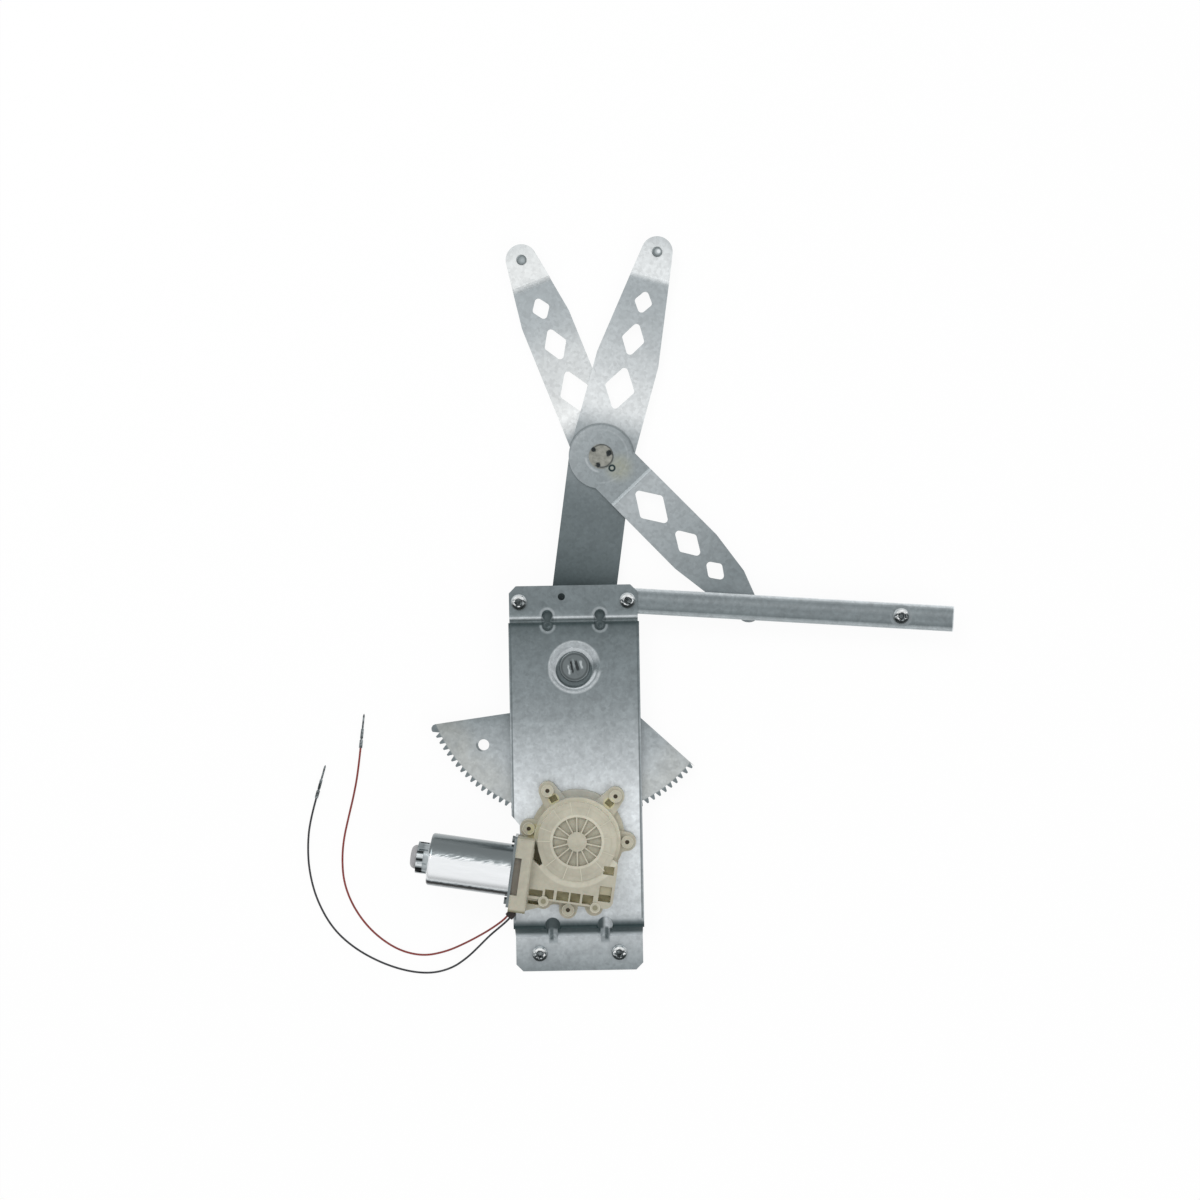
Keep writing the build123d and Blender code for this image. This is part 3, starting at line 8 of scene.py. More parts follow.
import json
import math
import bpy
from bpy.props import FloatProperty, FloatVectorProperty, PointerProperty
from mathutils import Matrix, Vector


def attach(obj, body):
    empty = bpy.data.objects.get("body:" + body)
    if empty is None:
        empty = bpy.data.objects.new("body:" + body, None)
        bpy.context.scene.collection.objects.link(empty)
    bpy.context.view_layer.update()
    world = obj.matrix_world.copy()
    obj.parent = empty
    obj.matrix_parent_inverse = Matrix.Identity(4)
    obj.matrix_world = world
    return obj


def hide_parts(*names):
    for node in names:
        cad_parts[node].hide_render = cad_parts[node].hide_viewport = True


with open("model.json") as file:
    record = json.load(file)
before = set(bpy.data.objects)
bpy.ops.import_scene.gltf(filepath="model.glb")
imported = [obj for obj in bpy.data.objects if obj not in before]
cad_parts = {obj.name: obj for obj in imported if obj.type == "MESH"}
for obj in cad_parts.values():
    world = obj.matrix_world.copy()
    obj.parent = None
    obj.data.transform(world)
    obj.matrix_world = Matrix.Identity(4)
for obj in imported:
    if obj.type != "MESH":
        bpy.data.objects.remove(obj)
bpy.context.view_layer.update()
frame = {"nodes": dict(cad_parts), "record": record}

bl_info = {
    "name": "Window regulator finishes",
    "version": (1, 0, 0),
    "blender": (4, 5, 0),
    "location": "View3D > Sidebar > Regulator",
    "description": "Finishes, wires and small pieces of a cross-arm window regulator",
    "category": "Object",
}

NODES = frame["nodes"]
JOINTS = {joint["name"]: joint for joint in frame["record"]["behaviour"]["joints"]}


def joint_place(name):
    """Where a joint's axis stands in the part's frame."""
    return Vector(JOINTS[name]["pos_m"])


def flat(place):
    """A place's foot on the floor."""
    return Vector((place.x, place.y, 0.0))


MAIN_PIVOT = joint_place("main_arm_pivot")
CROSS_PIVOT = joint_place("cross_arm_pivot")
ARMATURE_AXIS = joint_place("armature_spin")
ARMATURE_DIRECTION = Vector(JOINTS["armature_spin"]["axis"]).normalized()
MAIN_TIP = joint_place("main_roller_spin")
UPPER_TIP = joint_place("upper_roller_spin")
GUIDE_TIP = joint_place("guide_roller_spin")
MM = 0.001
MOTOR_TURN = math.degrees(math.atan2(ARMATURE_DIRECTION.y, ARMATURE_DIRECTION.x))
OUTPUT_ORIGIN = flat(joint_place("output_shaft"))
PIVOT_Y = MAIN_PIVOT.y
# The guide rail's near nut and its slope, in degrees
RAIL_START = Vector((0.0425, PIVOT_Y + 0.0514, 0.0))
RAIL_SLOPE = -4.25

# The control points of each wire's smooth line, in millimetres; the second number is from the
# main pivot, up the door
RED_ROUTE = (
    (-55.4, -192.9, 30.0), (-58.1, -195.9, 29.8), (-66.5, -202.3, 25.2), (-76.0, -208.8, 18.0),
    (-90.0, -217.2, 8.0), (-105.5, -224.5, 1.6), (-123.0, -227.9, 1.0), (-140.3, -224.3, 1.0),
    (-155.6, -215.4, 1.0), (-169.2, -202.5, 1.0), (-179.9, -186.1, 1.0), (-186.1, -168.6, 1.0),
    (-187.3, -151.2, 1.0), (-185.8, -134.5, 1.0), (-181.5, -116.6, 1.0), (-177.2, -100.0, 1.0),
    (-173.4, -81.4, 1.2), (-171.0, -61.8, 1.4),
)
BLACK_ROUTE = (
    (-53.6, -194.5, 30.0), (-56.3, -197.5, 29.8), (-64.2, -204.3, 25.2), (-71.0, -210.6, 19.0),
    (-79.6, -220.0, 10.0), (-89.4, -229.8, 3.0), (-101.9, -238.2, 1.0), (-118.5, -242.0, 1.0),
    (-138.2, -239.6, 1.0), (-159.4, -232.0, 1.0), (-179.7, -220.1, 1.0), (-196.1, -204.4, 1.0),
    (-207.9, -182.1, 1.0), (-213.5, -159.5, 1.0), (-214.4, -138.9, 1.0), (-212.2, -119.2, 1.2),
    (-206.8, -101.0, 1.4),
)


def route_points(route):
    """A route's control points in metres, in the part's frame."""
    return [Vector((x * MM, y * MM + PIVOT_Y, z * MM)) for x, y, z in route]


# ----- Sizes and colours that a user would change -----

def length(name, description, default):
    """A length setting."""
    return FloatProperty(name=name, description=description, default=default, min=0.0001,
                         unit="LENGTH", precision=5)


def colour(name, description, default):
    """A colour setting, in scene values."""
    return FloatVectorProperty(name=name, description=description, default=default, size=3,
                               subtype="COLOR", min=0.0, max=1.0)


def amount(name, description, default, low=0.0, high=10.0):
    """A plain number setting."""
    return FloatProperty(name=name, description=description, default=default, min=low, max=high)


class RegulatorFinishSettings(bpy.types.PropertyGroup):
    """Colours and grain of the metal and plastic finishes."""

    zinc_light: colour("Light zinc", "Galvanised sheet in full light", (0.630, 0.665, 0.686))
    zinc_mid: colour("Middle zinc", "Galvanised sheet in even light", (0.174, 0.202, 0.212))
    zinc_dark: colour("Dark zinc", "Galvanised sheet where it is dull", (0.054, 0.072, 0.076))
    spangle: length("Spangle size", "Width of one zinc crystal on the sheet", 0.0022)
    zinc_roughness: amount("Zinc roughness", "Roughness of the galvanised sheet", 0.46, 0.0, 1.0)
    nylon: colour("Nylon", "Ivory nylon of the gear housing", (0.440, 0.421, 0.336))
    nylon_pale: colour("Nylon edge", "Paler nylon of ribs and rims", (0.542, 0.522, 0.424))
    nylon_deep: colour("Nylon recess", "Olive nylon of the cover and in shade",
                       (0.160, 0.150, 0.078))
    nylon_panel: colour("Nylon panel", "Taupe floor of the panel in the motor block",
                        (0.205, 0.186, 0.150))
    chrome: colour("Plating", "Bright plating of the can and nuts", (0.830, 0.850, 0.865))
    steel: colour("Steel", "Bare oiled steel of rivets and shafts", (0.165, 0.185, 0.188))
    roller: colour("Roller plastic", "White acetal of the rollers", (0.72, 0.71, 0.66))
    cap: colour("End cap", "Grey moulded cap on the motor's end", (0.34, 0.34, 0.35))


class RegulatorWireSettings(bpy.types.PropertyGroup):
    """The motor's two wires."""

    diameter: length("Wire diameter", "Outside diameter of the insulation", 0.0016)
    red: colour("Red insulation", "Colour of the red wire", (0.215, 0.036, 0.030))
    black: colour("Black insulation", "Colour of the black wire", (0.028, 0.030, 0.034))


class RegulatorStageSettings(bpy.types.PropertyGroup):
    """Camera, lamps and floor."""

    camera_height: length("Camera height", "Camera above the floor", 1.72)
    view_width: length("View width", "Width of the view at the arms", 0.948)
    roll: FloatProperty(name="Camera roll", description="Turn of the camera about its axis",
                        default=math.radians(-1.0), subtype="ANGLE")
    key_power: amount("Key lamp", "Power of the key lamp in watts", 16.0, 0.0, 1000.0)
    fill_power: amount("Fill lamp", "Power of the fill lamp in watts", 9.0, 0.0, 1000.0)
    world_light: amount("World light", "Strength of the even light from all round", 0.72)


class RegulatorDetailSettings(bpy.types.PropertyGroup):
    """Small raised pieces on the housing."""

    rib_start: length("Rib start", "Distance of the face ribs from the output shaft", 0.0208)
    rib_length: length("Rib length", "Length of a face rib", 0.0102)
    rib_width: length("Rib width", "Width of a face rib", 0.0007)
    rib_height: length("Rib height", "Height of a rib above the face", 0.00035)
    ear_ring: length("Ear ring", "Radius of the raised ring on an ear", 0.0046)
    ear_bead: length("Ear bead", "Radius of the ring's rounded top", 0.00034)
    boss: length("Boss radius", "Radius of the bosses at the lower edge", 0.0040)
    boss_top: length("Boss top", "Height of the bosses above the floor", 0.0436)


SETTINGS = (
    ("regulator_details", RegulatorDetailSettings),
    ("regulator_finish", RegulatorFinishSettings),
    ("regulator_wires", RegulatorWireSettings),
    ("regulator_stage", RegulatorStageSettings),
)


# ----- Material building -----

class Nodes:
    """A node tree, with short calls to make and feed its nodes."""

    def __init__(self, tree):
        self.tree = tree

    def feed(self, sockets, *values):
        """Gives each socket its number, colour or direction, or links it to another socket."""
        for socket, value in zip(sockets, values):
            if isinstance(value, tuple):
                socket.default_value = (*value, 1.0) if socket.type == "RGBA" else value
            elif isinstance(value, (int, float)):
                socket.default_value = value
            else:
                self.tree.links.new(value, socket)

    def fill(self, made, **values):
        """Sets a node's properties, named in small letters, and feeds its sockets, in capitals."""
        for key, value in values.items():
            if key[0].islower():
                setattr(made, key, value)
            else:
                self.feed([made.inputs[key.replace("_", " ")]], value)
        return made

    def node(self, kind, **values):
        """A new node with some of its properties set and some of its sockets fed."""
        return self.fill(self.tree.nodes.new(kind), **values)

    def stretched(self, value, start, end, low=0.0, high=1.0, kind="LINEAR"):
        """A value's run from start to end, laid between low and high."""
        made = self.node("ShaderNodeMapRange", interpolation_type=kind)
        self.feed(made.inputs, value, start, end, low, high)
        return made.outputs[0]


class Sheet(Nodes):
    """One material's node tree, with short calls for its patterns; shade colours its levels."""

    def __init__(self, name, shade=tuple):
        self.shade = shade
        self.material = bpy.data.materials.new(name)
        self.material.use_nodes = True
        super().__init__(self.material.node_tree)
        self.tree.nodes.clear()
        self.shader = self.node("ShaderNodeBsdfPrincipled")
        self.output = self.node("ShaderNodeOutputMaterial", Surface=self.shader.outputs[0])
        self.place = self.node("ShaderNodeTexCoord").outputs["Object"]

    def paint(self, **values):
        """Feeds the shader's sockets, by name with underscores for spaces."""
        self.fill(self.shader, **values)

    def mapped(self, origin=(0.0, 0.0, 0.0), turn=0.0, scale=(1, 1, 1)):
        """Places on the surface from an origin, along scaled axes turned about Z by degrees."""
        return self.node("ShaderNodeMapping", vector_type="TEXTURE", Vector=self.place,
                         Location=tuple(origin), Rotation=(0.0, 0.0, math.radians(turn)),
                         Scale=scale).outputs[0]

    def noise(self, scale, detail=3.0, roughness=0.5, stretch=(1, 1, 1), turn=0.0):
        """A 0 to 1 noise, drawn out along axes turned about Z by turn degrees."""
        place = self.mapped(turn=turn, scale=stretch)
        return self.node("ShaderNodeTexNoise", Scale=scale, Detail=detail, Roughness=roughness,
                         Vector=place).outputs["Fac"]

    def cells(self, scale):
        """A random grey for each crystal of a Voronoi pattern."""
        made = self.node("ShaderNodeTexVoronoi", Scale=scale, Randomness=0.9, Vector=self.place)
        return self.node("ShaderNodeSeparateColor", Color=made.outputs["Color"]).outputs[0]

    def ramp(self, value, stops, shade=tuple):
        """Colours by position; stops are (position, colour), or levels with their shade."""
        made = self.node("ShaderNodeValToRGB")
        elements = made.color_ramp.elements
        while len(elements) < len(stops):
            elements.new(0.5)
        for element, (position, level) in zip(elements, stops):
            element.position = position
            element.color = (*shade(level), 1.0)
        self.feed(made.inputs, value)
        return made.outputs[0]

    def math(self, operation, a, b=0.0):
        """One step of arithmetic."""
        made = self.node("ShaderNodeMath", operation=operation)
        self.feed(made.inputs, a, b)
        return made.outputs[0]

    def mix(self, factor, a, b, blend="MIX"):
        """A colour between two colours, or their product."""
        made = self.node("ShaderNodeMix", data_type="RGBA", blend_type=blend)
        self.feed((made.inputs["Factor"], made.inputs[6], made.inputs[7]), factor, a, b)
        return made.outputs[2]

    def spread(self, value, low, high):
        """A 0 to 1 value stretched between two numbers."""
        return self.stretched(value, 0.0, 1.0, low, high)

    def axes(self, origin=(0.0, 0.0, 0.0), turn=0.0):
        """Distances in millimetres from an origin, along axes turned about Z by turn degrees."""
        place = self.mapped(origin, turn, (MM, MM, MM))
        return self.node("ShaderNodeSeparateXYZ", Vector=place).outputs

    def away(self, x, y):
        """Distance from an axis, from the two distances across it."""
        return self.math("SQRT", self.math("ADD", self.both(x, x), self.both(y, y)))

    def spot(self, x, y, px, py):
        """Distance from a place across the axis."""
        return self.away(self.math("SUBTRACT", x, px), self.math("SUBTRACT", y, py))

    def rise(self, value, edge, soft=1.0):
        """0 below an edge and 1 above it, over a soft width."""
        return self.stretched(value, edge - soft / 2, edge + soft / 2, kind="SMOOTHSTEP")

    def below(self, value, edge, soft=1.0):
        """1 below an edge and 0 above it."""
        return self.math("SUBTRACT", 1.0, self.rise(value, edge, soft))

    def band(self, value, low, high, soft=1.0):
        """1 between two edges and 0 outside them."""
        return self.math("SUBTRACT", self.rise(value, low, soft), self.rise(value, high, soft))

    def both(self, *masks):
        """The product of several masks or shares."""
        product = masks[0]
        for mask in masks[1:]:
            product = self.math("MULTIPLY", product, mask)
        return product

    def profile(self, value, stops, shade=None):
        """Colours along a distance; stops are (millimetres, level)."""
        start, end = stops[0][0], stops[-1][0]
        return self.ramp(self.stretched(value, start, end),
                         [((at - start) / (end - start), level) for at, level in stops],
                         shade or self.shade)

    def layers(self, tone, *marks):
        """Marks laid on a tone in turn, each a level and the masks or shares it lies within."""
        for level, *masks in marks:
            tone = self.mix(self.both(*masks), tone, self.shade(level))
        return tone

    def level_faces(self):
        """1 on faces square to Z and 0 on steep ones."""
        normal = self.node("ShaderNodeTexCoord").outputs["Normal"]
        split = self.node("ShaderNodeSeparateXYZ", Vector=normal)
        return self.rise(self.math("ABSOLUTE", split.outputs[2]), 0.93, 0.08)

    def bump(self, height, strength, distance):
        """Fine relief of a height; gives back the finished material."""
        made = self.node("ShaderNodeBump", Strength=strength, Distance=distance, Height=height)
        self.paint(Normal=made.outputs[0])
        return self.material


def mixed(a, b, factor):
    """A colour between two colours."""
    return tuple(x + (y - x) * factor for x, y in zip(a, b))


def linear(level):
    """Scene value of a display level from 0 to 255."""
    level = level / 255
    return level / 12.92 if level <= 0.04045 else ((level + 0.055) / 1.055) ** 2.4


# The display levels that the dark, middle and light zinc settings stand for
DARK_LEVEL, MID_LEVEL, LIGHT_LEVEL = 76, 124, 213


def zinc_shade(level):
    """The zinc colour that shows at a display level in even light."""
    finish = bpy.context.scene.regulator_finish
    steps = ((DARK_LEVEL, finish.zinc_dark), (MID_LEVEL, finish.zinc_mid),
             (LIGHT_LEVEL, finish.zinc_light))
    (low, dark), (high, light) = steps[:2] if level < MID_LEVEL else steps[1:]
    share = (linear(level) - linear(low)) / (linear(high) - linear(low))
    return tuple(max(0.004, c) for c in mixed(dark, light, share))


def warm_zinc(warmth):
    """The zinc colour, warmer by a share where it is bright."""
    def shade(level):
        share = warmth * min(1.0, max(0.0, (level - 160) / 45))
        return tuple(c * hue for c, hue in zip(zinc_shade(level), (1 + share, 1.0, 1 - share)))
    return shade


def zinc(name, draw, cloud=0.07, grain=0.12):
    """Galvanised sheet: tones drawn by a function, then crystals, clouds and faint scratches."""
    finish = bpy.context.scene.regulator_finish
    sheet = Sheet(name, zinc_shade)
    base = draw(sheet)
    crystals = sheet.cells(1.0 / finish.spangle)
    clouds = sheet.spread(sheet.noise(150.0, 4.0, 0.6), 1.0 - cloud * 2.6, 1.0 + cloud * 2.6)
    broad = sheet.spread(sheet.noise(38.0, 3.0, 0.5), 1.0 - cloud * 1.5, 1.0 + cloud * 1.5)
    fine = sheet.spread(sheet.noise(420.0, 3.0, 0.6), 1.0 - grain, 1.0 + grain)
    level = sheet.level_faces()
    # Steep faces are painted 1.4 times lighter, painted light that lifts their shade, and are less
    # metallic
    tone = sheet.both(sheet.spread(crystals, 0.92, 1.08), clouds, broad, fine,
                      sheet.spread(level, 1.4, 1.0))
    sheet.paint(
        Base_Color=sheet.mix(1.0, base, tone, "MULTIPLY"),
        Roughness=sheet.spread(crystals, finish.zinc_roughness - 0.05,
                               finish.zinc_roughness + 0.07),
        Metallic=sheet.spread(level, 0.25, 0.85))
    return sheet.bump(sheet.noise(1400.0, 3.0, 0.6), 0.12, 0.0002)


# Display levels by distance in millimetres; the plate's from the main pivot, up the door
# At the bottom step, -211 to -200, and the top joggle, 31 to 38, the levels are painted shade; the
# light lines at 35.8 to 36.6 and 38.5 to 39.3 are painted highlights on the joggle's bends
PLATE_TONES = (
    (-246, 130), (-240, 136), (-228, 158), (-218, 178), (-213, 180), (-211.4, 140), (-209.6, 58),
    (-206, 38), (-203.4, 50), (-200.5, 110), (-198, 172), (-194, 192), (-178, 200), (-165, 210),
    (-115, 217), (-100, 213), (-80, 189), (-40, 145), (-20, 131), (0, 123), (20, 113),
    (31, 98), (33.6, 70), (35.0, 62), (35.8, 118), (36.6, 122), (37.2, 56), (37.9, 58), (38.5, 178),
    (39.3, 186), (40.4, 136),
)
FLANGE_TONES = ((40.4, 132), (42, 122), (46, 117), (56, 118), (66, 121))
# Along the arms, from the cross pivot towards each tip. On the main arm the dark levels near -100
# are partly painted shadow of the rail's flange; on the main and upper arms the levels from 143.6
# to 148.4 are painted lighter, as painted light on the joggle's slope
MAIN_ARM_TONES = (
    (-170, 76), (-102, 80), (-92, 90), (-78, 98), (-66, 104), (-46, 107), (-36, 110), (-27, 118),
    (-12, 138), (10, 148), (20, 156), (30, 188), (40, 207), (52, 203), (62, 199), (70, 191),
    (84, 185), (96, 174), (110, 167), (122, 162), (132, 158), (143.6, 160), (144.4, 172),
    (147.6, 216), (148.4, 206), (154, 209), (166, 203), (180, 184),
)
UPPER_ARM_TONES = (
    (-30, 166), (0, 150), (12, 148), (22, 160), (30, 198), (40, 222), (50, 208), (60, 199),
    (70, 196), (84, 194), (96, 182), (108, 169), (120, 163), (132, 159), (143.6, 158),
    (144.4, 170), (147.6, 212), (148.4, 202), (154, 207), (166, 204), (180, 190),
)
LOWER_ARM_TONES = (
    (-28, 164), (-18, 151), (-6, 147), (8, 141), (22, 142), (33.4, 140), (36.2, 164), (42, 167),
    (50, 164), (62, 159), (76, 153), (90, 149), (104, 143), (118, 139), (130, 132), (142, 128),
    (152, 132), (180, 140),
)
SECTOR_TONES = (
    (-126, 176), (-104, 182), (-88, 181), (-74, 174), (-62, 163), (-50, 152), (-44, 143),
    (-38, 130), (-26, 124),
)
# Across the guide rail
RAIL_TONES = (
    (-10.2, 168), (-9.2, 146), (-7.3, 146), (-6.2, 113), (-3.2, 128), (0, 125), (3, 138),
    (6, 126), (7.4, 142), (8.8, 166), (10.2, 206),
)

# The plate's features, in millimetres from the main pivot
FLANGE_BEND = 40.4
RECESS_RIM = 20.4
RECESS_FLOOR = 13.8
RECESS_FLOOR_AT = (-0.5, -2.4)
DART_ACROSS = 20.6
HIGH_LOBE, LOW_LOBE, PIT = 40.9, 32.6, -202.6
# The lower arm's stain and punched ring, from the cross pivot
STAIN_AT = (14.0, -9.0)
PUNCH_AT = (8.4, -9.4)
OIL_STAIN = (0.30, 0.305, 0.225)
# The sector's hole, from the main pivot, and the distance at which its teeth begin
SECTOR_HOLE = (-73.3, -60.4)
SECTOR_ROOT = 118.6
HANDLING_STAIN = (0.410, 0.408, 0.360)
# The far nut and the end's cut edge along the rail
RAIL_NUT_AT = 214.7
RAIL_CUT_AT = RAIL_NUT_AT + 40.6


def plate_tones(sheet):
    """Tones and painted light and shade of the base plate: down its length, in its recess, darts
    and edges.
    """
    band, rise, below = sheet.band, sheet.rise, sheet.below
    x, y, _ = sheet.axes(MAIN_PIVOT)
    across = sheet.math("ABSOLUTE", x)
    away = sheet.away(x, y)
    tone = sheet.mix(rise(y, FLANGE_BEND, 0.2), sheet.profile(y, PLATE_TONES),
                     sheet.profile(y, FLANGE_TONES))
    # Recess round the main pivot: painted light on its slope, a painted highlight crescent above
    # and two thin painted highlight arcs below, a dull floor with painted shade along its upper
    # edge
    from_floor = sheet.spot(x, y, *RECESS_FLOOR_AT)
    slope = sheet.both(below(away, RECESS_RIM, 2.0), rise(from_floor, RECESS_FLOOR, 2.4))
    upper = rise(sheet.math("SUBTRACT", y, sheet.math("MULTIPLY", x, 0.4)), -2.0, 9.0)
    lower = below(y, -4.0, 6.0)
    tone = sheet.layers(
        tone, (126, slope), (186, slope, upper),
        (206, band(away, 15.6, 17.8, 1.4), lower), (176, band(away, 18.6, 21.0, 1.8), lower),
        (102, below(from_floor, RECESS_FLOOR, 1.4)),
        (88, band(from_floor, 13.0, 14.4, 0.8), below(y, 2.0, 6.0)))
    # Bent sides in painted shade: a duller strip low down, then a dark line along the bend
    tone = sheet.layers(
        tone,
        (158, rise(across, 49.4, 1.0), rise(y, -200.0, 2.0), below(y, -48.0, 20.0)),
        (86, band(across, 49.2, 50.3, 0.5), rise(y, -198.0, 1.0), below(y, 34.0, 1.0), 0.6))
    # Upper darts: keyholes in painted shade, with painted highlights on the brims above and below
    from_dart = sheet.math("SUBTRACT", across, DART_ACROSS)
    high = sheet.spot(across, y, DART_ACROSS, HIGH_LOBE)
    low = sheet.spot(across, y, DART_ACROSS, LOW_LOBE)
    tone = sheet.layers(
        tone,
        (150, below(high, 6.1, 1.6), rise(y, 40.6, 1.6)),
        (136, below(low, 6.2, 1.6), below(y, 33.0, 1.6)),
        (70, below(high, 4.2, 1.0)), (80, below(low, 4.2, 1.0)),
        (76, band(from_dart, -1.9, 1.9, 0.8), band(y, 33.0, 41.0, 1.0)))
    # Lower darts: round pits in painted shade, the right one with a painted highlight on its right
    # half, and a grooved stem below with painted shade in its groove
    pit = sheet.spot(across, y, DART_ACROSS, PIT)
    return sheet.layers(
        tone,
        (72, below(pit, 6.0, 1.0)), (192, below(pit, 5.8, 1.0), rise(x, 20.0, 4.0)),
        (148, band(from_dart, -3.6, 3.6, 1.2), band(y, -219.5, -207.5, 3.0)),
        (92, band(from_dart, -0.2, 2.6, 1.4), band(y, -217.0, -206.0, 3.0)))


def arm_tones(tip, stops, marks, warmth):
    """Tones down an arm, by the distance from the cross pivot towards its tip, then the painted
    light and shade and the marks of its hub.
    """
    pivot = flat(CROSS_PIVOT)
    run = Vector(tip) - pivot
    turn = math.degrees(math.atan2(run.y, run.x))

    def draw(sheet):
        along, _, _ = sheet.axes(pivot, turn)
        tone = sheet.profile(along, stops, warm_zinc(warmth))
        x, y, _ = sheet.axes(pivot)
        return marks(sheet, x, y, tone)
    return draw


def hub_shadow_line(sheet, x, y, tone):
    """Painted shadow: a dark line on an arm along the round hub that lies on it."""
    rim = sheet.band(sheet.away(x, y), 25.2, 26.6, 0.8)
    return sheet.layers(tone, (84, rim, sheet.rise(y, -6.0, 12.0), 0.4))


def hub_light_and_marks(sheet, x, y, tone):
    """Marks of the hub on top: faint rings with painted highlights on the right and lower left and
    painted shade along its upper edge, an oily stain beside the bush and a punched ring.
    """
    band, rise, below = sheet.band, sheet.rise, sheet.below
    away = sheet.away(x, y)
    tone = sheet.layers(
        tone,
        # Faint rings: painted highlights on the right and lower left, painted shade along the upper
        # edge
        (170, band(away, 20.4, 21.6, 0.8), rise(x, -2.0, 12.0), 0.3),
        (96, band(away, 24.6, 26.0, 0.8), rise(y, 2.0, 12.0), 0.4),
        (176, band(away, 11.4, 13.0, 0.8), below(x, -2.0, 4.0), below(y, -1.0, 4.0), 0.6))
    stain = sheet.both(below(sheet.spot(x, y, *STAIN_AT), 9.0, 12.0),
                       sheet.spread(sheet.noise(260.0, 4.0, 0.7), 0.1, 0.9))
    tone = sheet.mix(stain, tone, OIL_STAIN)
    return sheet.layers(tone, (50, band(sheet.spot(x, y, *PUNCH_AT), 1.4, 2.9, 0.7)))


def sector_tones(sheet):
    """Tones of the sector: lighter and warmer towards its teeth, dark in them, painted shade in its
    hole.
    """
    x, y, _ = sheet.axes(MAIN_PIVOT)
    away = sheet.away(x, y)
    stain = sheet.both(sheet.rise(away, 100.0, 26.0),
                       sheet.spread(sheet.noise(60.0, 4.0, 0.6), 0.0, 0.6))
    tone = sheet.mix(stain, sheet.profile(y, SECTOR_TONES), HANDLING_STAIN)
    # Painted shade on the lower left inside the sector's hole
    brim = sheet.band(sheet.spot(x, y, *SECTOR_HOLE), 3.0, 5.6, 0.8)
    return sheet.layers(
        tone,
        (88, brim, sheet.below(x, -74.0, 3.0), sheet.below(y, -59.0, 3.0), 0.7),
        (122, sheet.rise(away, SECTOR_ROOT, 1.4)))


def rail_tones(sheet):
    """Tones across the guide rail: rolled edges, faint lines along it and a ring at the far nut."""
    along, across, _ = sheet.axes(RAIL_START, RAIL_SLOPE)
    ring = sheet.band(sheet.spot(along, across, RAIL_NUT_AT, 0.0), 6.0, 8.8, 1.2)
    return sheet.layers(sheet.profile(across, RAIL_TONES), (138, ring),
                        (205, sheet.rise(along, RAIL_CUT_AT, 1.0)))


def plating_shade(level):
    """The plating's colour at a display level, a little greener where it is duller."""
    chrome = tuple(bpy.context.scene.regulator_finish.chrome)
    share = linear(level) / linear(CHROME_LEVEL)
    dull = 1.0 - min(1.0, share)
    return tuple(min(0.95, c * share * (1.0 + hue * dull)) for c, hue in zip(chrome, DULL_HUE))


def plated(name, tint, roughness, turn=0.0, stretch=(1, 1, 1), variation=0.08):
    """Bright plating with faint drawn streaks; the tint is a colour or a function that draws it."""
    sheet = Sheet(name, plating_shade)
    streaks = sheet.noise(240.0, 4.0, 0.6, stretch, turn)
    base = tint(sheet) if callable(tint) else tuple(tint)
    tone = sheet.spread(streaks, 1.0 - variation * 1.6, 1.0 + variation)
    sheet.paint(Base_Color=sheet.mix(1.0, base, tone, "MULTIPLY"), Metallic=1.0,
                Roughness=sheet.spread(streaks, roughness * 0.8, roughness * 1.3))
    return sheet.bump(streaks, 0.06, 0.0002)


# The display level of full plating, and how dull plating shifts in red, green and blue
CHROME_LEVEL = 236
DULL_HUE = (-0.10, 0.03, 0.05)
# Marks on the main rivet: x from and to, y from and to, level
CHISEL_MARKS = (
    (-2.9, -1.2, -4.5, 5.0, 52), (-5.4, -4.2, -5.0, 2.0, 178), (0.8, 3.2, -3.6, 4.4, 60),
    (4.6, 6.4, -2.6, 3.4, 176), (-1.0, 0.6, -1.0, 6.0, 140),
)
# Stake marks on the cross pivot's bush: x, y and radius
STAKE_MARKS = ((-5.9, 5.6, 1.9), (6.6, 2.6, 2.4), (-2.5, -6.7, 1.8))
BUSH_DULL = (0.188, 0.192, 0.172)
BUSH_PALE = (0.306, 0.308, 0.280)


def pivot_rivet_tones(sheet):
    """The main rivet's head: dull, with a dark rim and the chisel marks of its heading tool."""
    x, y, _ = sheet.axes(MAIN_PIVOT, 12.0)
    wander = sheet.spread(sheet.noise(420.0, 3.0, 0.6), -1.1, 1.1)
    bent = sheet.math("ADD", x, wander)
    rim = sheet.band(sheet.away(x, y), 9.4, 10.8, 1.0)
    return sheet.layers(plating_shade(112), (88, rim), *(
        (level, sheet.band(bent, x0, x1, 0.8), sheet.band(y, y0, y1, 2.0))
        for x0, x1, y0, y1, level in CHISEL_MARKS))


def bush_tones(sheet):
    """The cross pivot's bush: pale and oily, with dark stake marks and a dark seam round it."""
    x, y, _ = sheet.axes(flat(CROSS_PIVOT))
    away = sheet.spot(x, y, 0.6, 0.4)
    clouds = sheet.noise(330.0, 4.0, 0.6)
    wander = sheet.spread(clouds, -1.6, 1.6)
    right = sheet.rise(sheet.math("ADD", x, y), -3.0, 5.0)
    return sheet.layers(
        sheet.ramp(clouds, [(0.3, BUSH_DULL), (0.7, BUSH_PALE)]),
        (62, sheet.band(away, 8.2, 9.4, 0.8), right, 0.75),
        (74, sheet.band(away, 8.6, 9.6, 0.7), sheet.below(y, -7.0, 2.0)),
        *((52, sheet.below(sheet.math("ADD", sheet.spot(x, y, px, py), wander), reach, 1.2))
          for px, py, reach in STAKE_MARKS))


